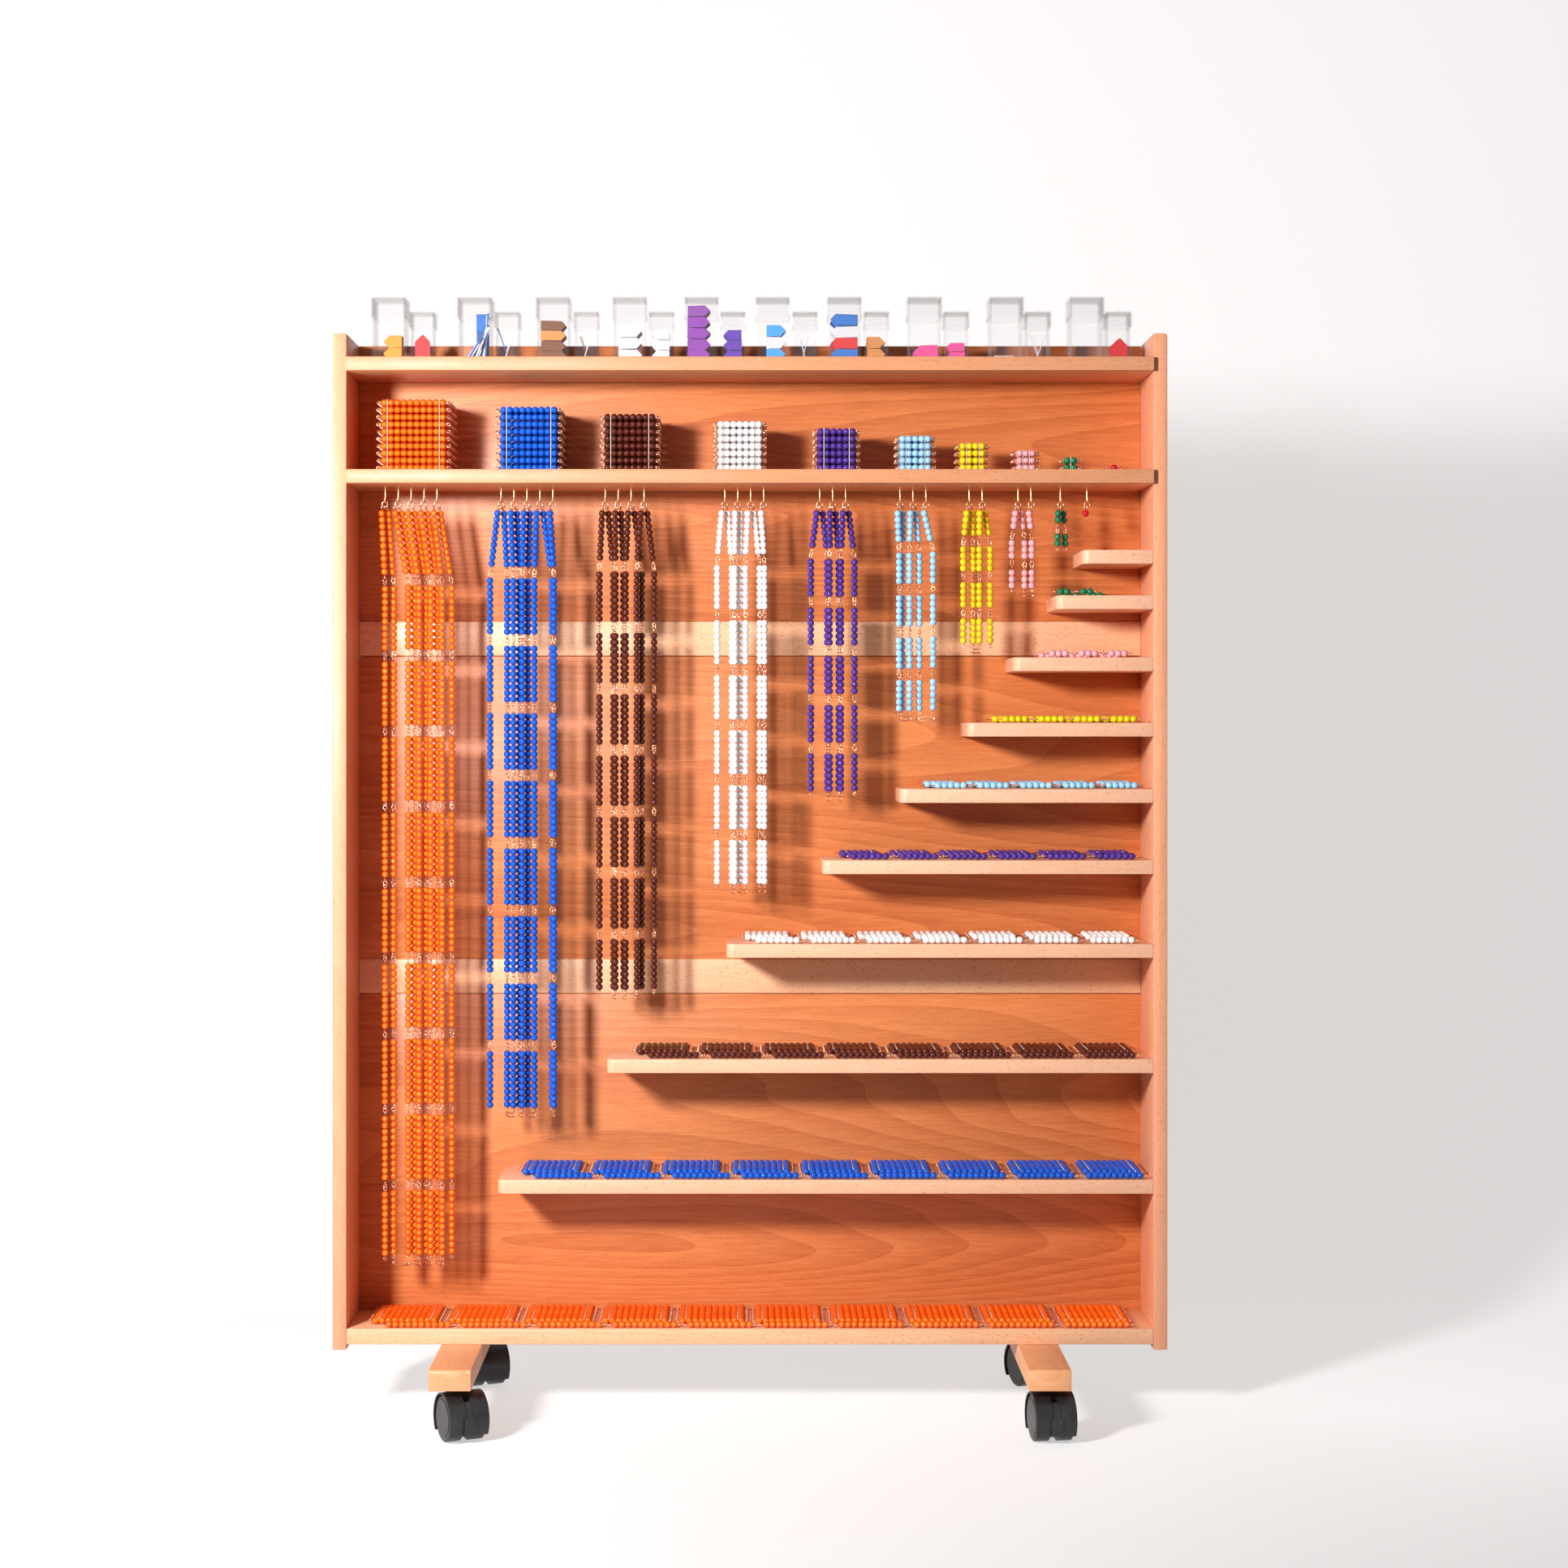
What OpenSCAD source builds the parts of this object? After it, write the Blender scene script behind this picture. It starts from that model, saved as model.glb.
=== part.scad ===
// Bead cabinet: a wooden cabinet on casters with bead cubes, squares, chains and ticket boxes.
// Units are millimetres, Z is up, the floor is at Z = 0 and the front faces -Y.

/* [Cabinet] */

// Outside width of the cabinet
body_w = 956; // [940:1:1000]
// Depth of the side panels
body_d = 122; // [122:1:150]
// Thickness of the side panels
side_t = 16; // [12:0.5:20]
// Height of the lower ends of the side panels above the floor
side_low = 77; // [74:0.5:80]
// Height of the tops of the side panels above the floor
side_high = 1241; // [1230:1:1320]
// Thickness of the back panels
back_t = 10; // [6:0.5:11]
// Height of the two back rails
rail_h = 40.5; // [30:0.5:50]
// How far the back rails stand in front of the back panels
rail_proud = 2; // [1:0.25:3]
// Gap of the joint line under each back rail
joint_gap = 0.8; // [0.4:0.1:1.2]

/* [Shelves] */

// Thickness of the top shelf, the cube shelf and the step shelves
shelf_t = 16; // [12:0.5:18]
// Thickness of the bottom shelf
bottom_t = 17.8; // [14:0.1:20]
// How far the side panels stand above the top shelf
tray_h = 27.4; // [20:0.1:40]
// Height of the space between the cube shelf and the top shelf
cube_space_h = 112.7; // [108:0.1:120]
// Height of the upper face of the bottom shelf
bottom_shelf_z = 101; // [101:0.1:104]
// How far the top shelf and the cube shelf stand in front of the side panels
shelf_proud = 7; // [2:0.5:10]
// Rounding of the front left corner of the step shelves
step_round = 9; // [4:0.5:14]

/* [Feet and casters] */

// Width of a foot
foot_w = 47; // [44:0.5:56]
// Thickness of a foot
foot_t = 23.4; // [20:0.1:26]
// Distance of the feet from the middle of the cabinet
foot_x = 330; // [300:1:380]
// How far the feet reach in front of the side panels
foot_front = 133; // [120:1:150]
// How far the feet reach behind the side panels
foot_back = 97; // [90:1:120]
// Rounding of the upper front and back edges of the feet
foot_round = 4; // [1:0.5:8]
// Radius of the caster wheels
wheel_r = 25.5; // [24:0.1:26]
// Width of one wheel
wheel_w = 17; // [14:0.5:18]
// Distance from the swivel stem to the wheel axle
trail = 24; // [22:0.5:26]
// Thickness of the hood's shell
hood_t = 2; // [1.4:0.1:2.4]
// Thickness of the web between the wheels
web_t = 10; // [9:0.25:11]
// Radius of the wheel axle
axle_r = 3; // [2:0.1:3.5]
// Radius of the swivel stem in the hood
stem_r = 3; // [2.5:0.1:3.2]
// Radius of the brake lever's pin
pin_r = 1.2; // [1:0.1:1.5]

/* [Beads] */

// Diameter of a bead
bead_d = 8; // [7:0.1:8.2]
// Distance from bead to bead along a bar of the clear beads
bead_pitch = 7.5; // [7:0.1:7.6]
// Distance from bead to bead along a bar of the plain beads
plain_pitch = 7.3; // [7:0.1:7.6]
// Gap between neighbouring bars of a square or a cube
row_gap = 0.35; // [0.2:0.05:0.5]
// Length of the wire link between two bars of a chain
link_gap = 12.5; // [11:0.1:14]
// Thickness of the copper wire
wire_t = 1.1; // [0.8:0.1:1.4]
// Length of the hooks below the cube shelf
hook_l = 20; // [18:0.5:24]
// Distance from hook to hook
hook_pitch = 15; // [13:0.5:16]

/* [Ticket boxes] */

// Width of a large box
big_w = 40.5; // [38:0.5:42]
// Depth of a large box
big_d = 56; // [50:0.5:58]
// Height of a large box with its lid
big_h = 75; // [70:0.5:85]
// Width of a small box
small_w = 30.3; // [28:0.1:32]
// Depth of a small box
small_d = 41; // [36:0.5:46]
// Height of a small box with its lid
small_h = 58; // [52:0.5:66]
// Wall thickness of the boxes and lids
box_t = 1.4; // [1.2:0.1:2]

/* [Clearances] */

// Radial clearance of axles, stems and pins in their bores
run_fit = 0.05; // [0.03:0.01:0.09]
// Gap between a loose thing and what it rests on
rest_gap = 0.3; // [0.2:0.05:0.4]
// Gap between a lid's skirt and its box
lid_fit = 0.3; // [0.2:0.05:0.5]

/* [Hidden] */

$fn = 48;
// Turn of each caster about its stem: front left, front right, back left, back right
caster_turn = [25, 8, 25, 22];
hood_r = wheel_r + 1 + hood_t;
hood_w = web_t + 2 * (wheel_w + 0.4) + 1.2;
// The cabinet stands back so that the whole outline is centred on Y = 0
caster_reach = (trail + hood_r) * cos(caster_turn[0]) + hood_w / 2 * sin(caster_turn[0]);
set_back = (foot_front - 50 + caster_reach - foot_back) / 2;
front_y = -body_d / 2 + set_back;
back_y = body_d / 2 + set_back;
inner_w = body_w - 2 * side_t;
inner_x = inner_w / 2;
top_shelf_z = side_high - tray_h;
cube_shelf_z = top_shelf_z - shelf_t - cube_space_h;
// Lengths and places measured in the cabinet of the photograph grow with its width
photo_w = 924;
wide = inner_w / photo_w;
back_front_y = back_y - 2 - back_t;
rail_upper_z = bottom_shelf_z + 0.8411 * (cube_shelf_z - shelf_t - bottom_shelf_z);
rail_lower_z = bottom_shelf_z + 0.4289 * (cube_shelf_z - shelf_t - bottom_shelf_z);
// Lengths of the step shelves and their heights as parts of the space below the cube shelf
step_lengths = [81, 111, 160, 213, 290, 379, 489, 626, 751];
step_levels = [0.9217, 0.8679, 0.7946, 0.7171, 0.6386, 0.5544, 0.4553, 0.319, 0.1763];
step_front_y = front_y;
hang_z = cube_shelf_z - shelf_t;
bead_r = bead_d / 2;
row_pitch = bead_d + row_gap;
groove_r = bead_r * 0.5;
tie_t = 1.2;
loop_l = 5.2;
link_wire = 2;
link_r = 2.4;
end_wire = 6.6;
hook_y = front_y + 40;
hook_wire = 1.6;
hook_in = 8;
hook_bend = 3.4;
ring_out = 3.9;
ring_in = 2.8;
ring_t = wire_t + 0.4;
stagger = bead_r + 0.3;
fan_gap = 3.2;
low_link = 2.6;
cube_gap = 4.85;
box_gap = 14;
cube_y = back_front_y - cube_gap - 9 * row_pitch - bead_d;
box_y = back_front_y - box_gap - big_d;
box_base_z = top_shelf_z + rest_gap;
lid_grow = box_t + lid_fit;
big_lid = 22.5;
small_lid = 17;
ring_z = hang_z - hook_l + hook_wire - ring_in + rest_gap;
chain_y = hook_y - hook_bend;
start_z = ring_z - ring_out - 3;
foot_top_z = bottom_shelf_z - bottom_t;
foot_under_z = foot_top_z - foot_t;
foot_start_y = front_y - foot_front;
foot_end_y = back_y + foot_back;
stem_front_y = foot_start_y + 50;
stem_back_y = foot_end_y - 30;
hood_low = 9;
boss_r = 10;
flange_t = 2;
boss_top = foot_under_z - flange_t - rest_gap;
lever_pivot_r = wheel_r - 0.5;
lever_slot = 7.4;
lever_w = 6.8;
// First hook of each chain and middle of each cube, from chain and cube 1 to 10
chain_x = [390.3, 359.6, 310.6, 254, 173.9, 80.8, -29.1, -167.5, -288.2, -422.4];
cube_x = [420, 370, 318.5, 257, 191, 100, -11.5, -138.5, -255, -388];
// Each chain's strands, as far from its first hook as they hang below their slanted first bars
strand_dx = [
    [1],
    [-3.9, 5.6],
    [-7.6, 7.8, 15.3],
    [-7.2, 4.6, 11.4, 24.4],
    [-1.3, 2.2, 10.7, 22.4, 37.9],
    [-10.4, 8.9, 11.3, 22.1, 24.4, 40.4],
    [-8.7, 8.4, 11.3, 17.2, 24.2, 40.7, 46],
    [-6.5, 9.2, 12, 21, 23.8, 42.1, 36.9, 56.5],
    [-12.1, 6.9, 14.9, 21.4, 25.2, 30.8, 39.1, 59, 61.8],
    [0.7, 9.6, 27.5, 34, 40.1, 47.1, 53.4, 59.8, 66.8, 77]
];
// Free space before each pair of ticket boxes, before the right side, and inside each pair
box_space = [22.5, 25.5, 17.6, 14.8, 11.1, 10.8, 10.5, 20.6, 22.8, 21.2];
end_space = 19.1;
pair_gap = [3.4, 2.6, 3.3, 1.6, 1.1, 2.1, 1.6, 1.2, 1.3, 1.3];
free_share = (inner_w - 10 * (big_w + small_w) - total(pair_gap, 9)) / (total(box_space, 9) + end_space);
big_x = [for (i = [0:9])
    -inner_x + free_share * total(box_space, i) + i * (big_w + small_w) + total(pair_gap, i - 1)];
small_x = [for (i = [0:9]) big_x[i] + big_w + pair_gap[i]];
// From the left end of each shelf to its first square, from set 1 to 10
square_lead = [34, 21, 37, 34.5, 32, 22, 21, 33, 26, 26];

beech = [0.87, 0.62, 0.4];
pale_beech = [0.93, 0.74, 0.54];
black_plastic = [0.1, 0.09, 0.1];
steel = [0.6, 0.6, 0.62];
brass = [0.8, 0.62, 0.25];
clear = [0.85, 0.9, 0.92, 0.35];
paper = [0.95, 0.9, 0.8];
bead_colours = [
    [0.84, 0.06, 0.1],
    [0.04, 0.51, 0.31],
    [0.98, 0.65, 0.75],
    [0.98, 0.86, 0.08],
    [0.51, 0.73, 0.92],
    [0.33, 0.2, 0.65],
    [0.96, 0.96, 0.95],
    [0.35, 0.14, 0.09],
    [0.14, 0.33, 0.84],
    [0.96, 0.5, 0.05]
];

function step_z(n) = n > 9 ? bottom_shelf_z
    : bottom_shelf_z + step_levels[n - 1] * (cube_shelf_z - shelf_t - bottom_shelf_z);
function step_l(n) = n > 9 ? inner_w : step_lengths[n - 1] * wide;
// Sum of the first entries of a list, up to entry i
function total(list, i) = i < 0 ? 0 : list[i] + total(list, i - 1);
function pitch_of(n) = n > 9 ? bead_pitch : plain_pitch;
function square_pitch(n) = n * bead_pitch + 13.5;
function bar_l(n) = (n - 1) * pitch_of(n) + bead_d;
function chain_row(n) = n * pitch_of(n) + link_gap;
function link_l(n) = link_gap + pitch_of(n) - bead_d;
// As many squares as a shelf takes, and as many bars as hang clear of the shelf below
function squares_of(n) = let (free = step_l(n) - square_lead[n - 1] - bar_l(n) - loop_l)
    min(n, 1 + floor(free / square_pitch(n)));
function bars_of(n) = min(n, floor((hang_z - hook_l - 15 - step_z(n)) / chain_row(n)));

// Carcass

module side_panel() {
    translate([0, front_y, side_low]) cube([side_t, body_d, side_high - side_low]);
}

module left_side() {
    color(beech) translate([-body_w / 2, 0, 0]) side_panel();
}

module right_side() {
    color(beech) translate([inner_x, 0, 0]) side_panel();
}

module full_shelf(z, t, proud) {
    translate([-inner_x, front_y - proud, z - t]) cube([inner_w, back_front_y - front_y + proud, t]);
}

module top_shelf() {
    color(pale_beech) full_shelf(top_shelf_z, shelf_t, shelf_proud);
}

module cube_shelf() {
    color(pale_beech) difference() {
        full_shelf(cube_shelf_z, shelf_t, shelf_proud);
        all_hooks() translate([0, hook_y, hang_z - 1]) cylinder(r = hook_wire / 2 + run_fit, h = hook_in + 1);
    }
}

module bottom_shelf() {
    color(pale_beech) translate([-inner_x, front_y, bottom_shelf_z - bottom_t])
        cube([inner_w, back_y - 2 - front_y, bottom_t]);
}

// A step shelf: plain on the right, where it meets the side panel, and rounded at its free front corner
module step_shelf(n) {
    l = step_l(n);
    d = back_front_y - step_front_y;
    translate([inner_x - l, step_front_y, step_z(n) - shelf_t]) linear_extrude(shelf_t) union() {
        translate([step_round, 0]) square([l - step_round, d]);
        translate([0, step_round]) square([l, d - step_round]);
        translate([step_round, step_round]) circle(r = step_round, $fn = 72);
    }
}

module step_shelf_1() {
    color(pale_beech) step_shelf(1);
}

module step_shelf_2() {
    color(pale_beech) step_shelf(2);
}

module step_shelf_3() {
    color(pale_beech) step_shelf(3);
}

module step_shelf_4() {
    color(pale_beech) step_shelf(4);
}

module step_shelf_5() {
    color(pale_beech) step_shelf(5);
}

module step_shelf_6() {
    color(pale_beech) step_shelf(6);
}

module step_shelf_7() {
    color(pale_beech) step_shelf(7);
}

module step_shelf_8() {
    color(pale_beech) step_shelf(8);
}

module step_shelf_9() {
    color(pale_beech) step_shelf(9);
}

module back_board(low, high) {
    translate([-inner_x, back_front_y, low]) cube([inner_w, back_t, high - low]);
}

module back_upper() {
    color(beech) back_board(rail_upper_z, side_high);
}

module back_middle() {
    color(beech) back_board(rail_lower_z, rail_upper_z - rail_h - joint_gap);
}

module back_lower() {
    color(beech) back_board(bottom_shelf_z, rail_lower_z - rail_h - joint_gap);
}

module rail(z) {
    translate([-inner_x, back_front_y - rail_proud, z - rail_h]) cube([inner_w, back_t + rail_proud, rail_h]);
}

module rail_upper() {
    color(pale_beech) rail(rail_upper_z);
}

module rail_lower() {
    color(pale_beech) rail(rail_lower_z);
}

// Feet

module foot_profile() {
    l = foot_end_y - foot_start_y;
    r = foot_round;
    union() {
        square([l, foot_t - r]);
        translate([r, 0]) square([l - 2 * r, foot_t]);
        translate([r, foot_t - r]) circle(r = r);
        translate([l - r, foot_t - r]) circle(r = r);
    }
}

module foot() {
    difference() {
        translate([-foot_w / 2, foot_start_y, foot_under_z]) rotate([90, 0, 90])
            linear_extrude(foot_w) foot_profile();
        for (y = [stem_front_y, stem_back_y])
            translate([0, y, foot_under_z - 1]) cylinder(r = stem_r + 1 + run_fit, h = 17.5);
    }
}

module foot_left() {
    color(beech) translate([-foot_x, 0, 0]) foot();
}

module foot_right() {
    color(beech) translate([foot_x, 0, 0]) foot();
}

// Casters, drawn about the stem with the axle towards the front

module at_caster(i) {
    x = i % 2 == 0 ? -foot_x : foot_x;
    y = i < 2 ? stem_front_y : stem_back_y;
    translate([x, y, 0]) rotate([0, 0, caster_turn[i]]) children();
}

// Flange, stud in the foot and stem in the hood
module caster_stem() {
    translate([0, 0, foot_under_z - flange_t]) cylinder(r = 12, h = flange_t);
    translate([0, 0, foot_under_z - 0.5]) cylinder(r = stem_r + 1, h = 15.5);
    translate([0, 0, wheel_r + 9]) cylinder(r = stem_r, h = foot_under_z - wheel_r - 10);
}

module caster_stems() {
    color(steel) for (i = [0:3]) at_caster(i) caster_stem();
}

module across(r, w) {
    rotate([0, 90, 0]) cylinder(r = r, h = w, center = true);
}

// Flat sector of a ring seen from the left side: a is measured up from the front
module arc_piece(r1, r2, a1, a2) {
    far = 2 * hood_r;
    intersection() {
        difference() {
            circle(r = r2);
            circle(r = r1);
        }
        polygon([
            [0, 0],
            [-far * cos(a1), far * sin(a1)],
            [-far * cos((a1 + a2) / 2), far * sin((a1 + a2) / 2)] * 1.2,
            [-far * cos(a2), far * sin(a2)]
        ]);
    }
}

module from_side(w) {
    rotate([90, 0, 90]) translate([0, 0, -w / 2]) linear_extrude(w) children();
}

module hood(brake) {
    translate([0, -trail, wheel_r]) difference() {
        union() {
            difference() {
                union() {
                    across(hood_r, hood_w);
                    translate([0, trail, 6]) cylinder(r = boss_r, h = boss_top - wheel_r - 6);
                }
                across(hood_r - hood_t, hood_w + 20);
            }
            across(hood_r - hood_t + 0.3, web_t);
        }
        translate([-hood_w, -2 * hood_r, hood_low - wheel_r - 2 * hood_r])
            cube([2 * hood_w, 4 * hood_r, 2 * hood_r]);
        across(axle_r + run_fit, 30);
        translate([0, trail, 8]) cylinder(r = stem_r + run_fit, h = 40);
        if (brake) from_side(lever_slot) arc_piece(lever_pivot_r - 5, 40, -50, 64);
    }
    if (brake) translate([0, -trail, wheel_r]) lever_axis() across(pin_r, web_t - 0.8);
}

module lever_axis() {
    translate([0, -lever_pivot_r * cos(45), lever_pivot_r * sin(45)]) children();
}

module hood_front_left() {
    color(black_plastic) at_caster(0) hood(true);
}

module hood_front_right() {
    color(black_plastic) at_caster(1) hood(true);
}

module hood_back_left() {
    color(black_plastic) at_caster(2) hood(false);
}

module hood_back_right() {
    color(black_plastic) at_caster(3) hood(false);
}

// Two wheels on one axle
module wheel_pair() {
    inner = web_t / 2 + 0.4;
    translate([0, -trail, wheel_r]) union() {
        across(axle_r, 2 * inner + 4);
        for (m = [0, 1]) mirror([m, 0, 0]) translate([inner, 0, 0]) rotate([0, 90, 0]) union() {
            cylinder(r = wheel_r, h = wheel_w - 2);
            translate([0, 0, wheel_w - 2]) cylinder(r1 = wheel_r, r2 = wheel_r - 1.5, h = 1);
            translate([0, 0, wheel_w - 1.5]) cylinder(r1 = wheel_r - 3, r2 = wheel_r - 5, h = 1.5);
        }
    }
}

module wheels_front_left() {
    color(black_plastic) at_caster(0) wheel_pair();
}

module wheels_front_right() {
    color(black_plastic) at_caster(1) wheel_pair();
}

module wheels_back_left() {
    color(black_plastic) at_caster(2) wheel_pair();
}

module wheels_back_right() {
    color(black_plastic) at_caster(3) wheel_pair();
}

// Arm in the hood's slot and the wide pad outside the shell
module brake_lever() {
    translate([0, -trail, wheel_r]) difference() {
        union() {
            from_side(lever_w) arc_piece(lever_pivot_r - 1.5, hood_r + 1.5, -28, 44);
            lever_axis() across(pin_r + 1.6, lever_w);
            from_side(13) arc_piece(hood_r + 0.5, hood_r + 2.5, -30, 11);
        }
        lever_axis() across(pin_r + run_fit, 20);
    }
}

module brake_front_left() {
    color(black_plastic) at_caster(0) brake_lever();
}

module brake_front_right() {
    color(black_plastic) at_caster(1) brake_lever();
}

// Hooks

function hooks_of(n) = ceil(n / 2);
function hook_x(n, i) = chain_x[n - 1] * wide + i * hook_pitch;

module all_hooks() {
    for (n = [1:10]) for (i = [0:hooks_of(n) - 1]) translate([hook_x(n, i), 0, 0]) children();
}

module hook() {
    w = hook_wire / 2;
    low = hang_z - hook_l + w + hook_bend;
    translate([0, hook_y, low]) cylinder(r = w, h = hang_z - low + hook_in);
    translate([0, hook_y, hang_z - 1.2]) cylinder(r = 2.6, h = 1.2);
    translate([0, hook_y - hook_bend, low]) rotate([90, 0, 90])
        mirror([0, 1, 0]) rotate_extrude(angle = 210) translate([hook_bend, 0]) circle(r = w - 0.03);
}

module hooks() {
    color(brass) all_hooks() hook();
}

// Ticket boxes

module box_body(w, d, h) {
    difference() {
        cube([w, d, h]);
        translate([box_t, box_t, box_t]) cube([w - 2 * box_t, d - 2 * box_t, h]);
    }
}

module box_lid(w, d, h, nubs) {
    difference() {
        cube([w, d, h]);
        translate([box_t, box_t, -1]) cube([w - 2 * box_t, d - 2 * box_t, h + 1 - box_t]);
    }
    for (x = nubs) translate([x * w, 4, h - 0.2]) cylinder(r = 1.6, h = 1.8);
}

module large_boxes() {
    color(clear) for (x = big_x) translate([x + lid_grow, box_y + lid_grow, box_base_z])
        box_body(big_w - 2 * lid_grow, big_d - 2 * lid_grow, big_h - box_t - lid_fit);
}

module large_lids() {
    color(clear) for (x = big_x) translate([x, box_y, box_base_z + big_h - big_lid])
        box_lid(big_w, big_d, big_lid, [0.25, 0.75]);
}

module small_boxes() {
    color(clear) for (x = small_x) translate([x + lid_grow, box_y + lid_grow, box_base_z])
        box_body(small_w - 2 * lid_grow, small_d - 2 * lid_grow, small_h - box_t - lid_fit);
}

module small_lids() {
    color(clear) for (x = small_x) translate([x, box_y, box_base_z + small_h - small_lid])
        box_lid(small_w, small_d, small_lid, [0.5]);
}

// Packs of paper arrow tickets: set, large box, distance from the left wall, width, height, depth and kind.
// Kind 1 points right, -1 left and 0 up; 2 leans on the right wall and 3 is a few narrow strips.
ticket_packs = [
    [1, 1, 10, 22, 30, 30, -1],
    [2, 1, 0, 32, 58, 26, 2],
    [3, 1, 2, 30, 47, 30, 1],
    [4, 1, 3, 28, 40, 26, 1],
    [5, 1, 0, 27, 64, 30, 1],
    [6, 1, 9, 23, 42, 24, 1],
    [7, 1, 0, 32, 54, 30, -1],
    [8, 1, 3, 29, 19, 30, -1],
    [9, 1, 2, 26, 6, 20, 1],
    [1, 0, 3, 18, 30, 8, 0],
    [2, 0, 0, 22, 42, 6, 3],
    [3, 0, 0, 22, 34, 6, 3],
    [4, 0, 0, 21, 36, 20, -1],
    [5, 0, 0, 22, 36, 26, -1],
    [6, 0, 0, 20, 30, 6, 3],
    [7, 0, 0, 22, 28, 26, 1],
    [8, 0, 0, 22, 21, 22, -1],
    [9, 0, 2, 18, 34, 4, 3],
    [10, 0, 2, 20, 26, 8, 0]
];

// A strip 1.4 wide that leans from x1 at its foot to x2 at height h
module leaning_strip(x1, x2, h) {
    polygon([[x1 - 0.7, 0], [x1 + 0.7, 0], [x2 + 0.7, h], [x2 - 0.7, h]]);
}

// Front view of a pack
module ticket_outline(w, h, kind) {
    count = max(1, round(h / 13));
    row = h / count;
    tip = min(row * 0.45, w / 3);
    if (abs(kind) == 1) mirror([kind < 0 ? 1 : 0, 0]) translate([kind < 0 ? -w : 0, 0]) polygon(concat(
        [[0, 0]],
        [for (k = [0:count - 1]) each [[w - tip, k * row], [w, (k + 0.5) * row]]],
        [[w - tip, h], [0, h]]
    ));
    if (kind == 0) polygon([[0, 0], [w, 0], [w, h - w * 0.3], [w / 2, h], [0, h - w * 0.3]]);
    if (kind == 2) polygon([[0, 0], [w, 0], [w, h], [w * 0.45, h], [w * 0.45, h * 0.6]]);
    if (kind == 3) union() {
        leaning_strip(w * 0.55, 0.7, h);
        leaning_strip(w * 0.5, w - 0.7, h * 0.8);
    }
}

module tickets() {
    side = lid_grow + box_t + 0.6;
    color(paper) for (p = ticket_packs) {
        x = p[1] == 1 ? big_x[p[0] - 1] : small_x[p[0] - 1];
        translate([x + side + p[2], box_y + side + 3, box_base_z + box_t + rest_gap]) rotate([90, 0, 0])
            translate([0, 0, -p[5]]) linear_extrude(p[5]) ticket_outline(p[3], p[4], p[6]);
    }
}

// Beads

// Outline points of n beads from height z up, each a double cone
function bead_points(n, z) = [for (i = [0:n - 1]) each [
    [i == 0 ? wire_t / 2 : groove_r, i == 0 ? z : z + bead_r + (i - 0.5) * pitch_of(n)],
    [bead_r, z + bead_r + i * pitch_of(n)]
]];

// Outline points of a wire link of length l whose lower end is at height z
function link_points(z, l) = [
    [wire_t / 2, z],
    [wire_t / 2, z + link_wire],
    [link_r, z + l / 2],
    [wire_t / 2, z + l - link_wire]
];

// A bar of beads along +X from x = 0
module turned_bar(n) {
    rotate([90, 0, 90]) rotate_extrude() polygon(concat(
        [[0, 0]],
        bead_points(n, 0),
        [[wire_t / 2, bar_l(n)], [0, bar_l(n)]]
    ));
}

// n beads side by side along +X, running back along +Y as ridges
module bead_rows(n, l) {
    translate([0, l, 0]) rotate([90, 0, 0]) linear_extrude(l) union() {
        for (i = [0:n - 1]) translate([bead_r + i * pitch_of(n), 0]) circle(r = bead_r);
    }
}

// Strip of wire loops along one end of a layer of bars, from x = -loop_l
module loop_strip(n) {
    translate([-loop_l, -1.5, -wire_t / 2]) cube([loop_l + 1, (n - 1) * row_pitch + 3, wire_t]);
}

// One layer of n bars: the front bar is turned, the rest are ridges, with loop strips at both ends
module bead_square(n) {
    turned_bar(n);
    if (n > 1) translate([0, bead_r + 0.1, 0]) bead_rows(n, (n - 1) * row_pitch - 0.1);
    loop_strip(n);
    translate([bar_l(n), 0, 0]) mirror([1, 0, 0]) loop_strip(n);
}

function tie_places(n) = n < 2 ? []
    : n == 2 ? [bead_r + pitch_of(n) / 2]
    : [bead_r + pitch_of(n) / 2, bead_r + (n - 1.5) * pitch_of(n)];

module bead_cube(n) {
    for (j = [0:n - 1]) translate([0, 0, j * row_pitch]) bead_square(n);
    for (x = tie_places(n))
        translate([x - tie_t / 2, -groove_r - 0.4, 0]) cube([tie_t, tie_t, (n - 1) * row_pitch]);
}

// Squares at the back of shelf n, the short chain along its front edge, and the cube above
module bead_set(n) {
    z = step_z(n) + rest_gap + bead_r;
    y = back_front_y - 8 - (n - 1) * row_pitch;
    x0 = inner_x - step_l(n) + square_lead[n - 1];
    for (k = [0:squares_of(n) - 1]) translate([x0 + k * square_pitch(n), y, z]) bead_square(n);
    if (n > 1) translate([x0 + (n - 1) * 2 + (n == 2 ? -22 : 0), front_y + 5.5, z])
        short_chain(n, squares_of(n));
    translate([cube_x[n - 1] * wide - bar_l(n) / 2, cube_y + bead_r, cube_shelf_z + rest_gap + bead_r])
        bead_cube(n);
}

// A chain of bars of n beads laid out straight
module short_chain(n, bars) {
    step = square_pitch(n) - 2;
    rotate([90, 0, 90]) rotate_extrude() polygon(concat(
        [[0, 0]],
        [for (k = [0:bars - 1]) each concat(
            bead_points(n, k * step),
            k < bars - 1 ? link_points(k * step + bar_l(n), step - bar_l(n)) : []
        )],
        [[wire_t / 2, (bars - 1) * step + bar_l(n)], [0, (bars - 1) * step + bar_l(n)]]
    ));
}

// Hanging chains

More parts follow.
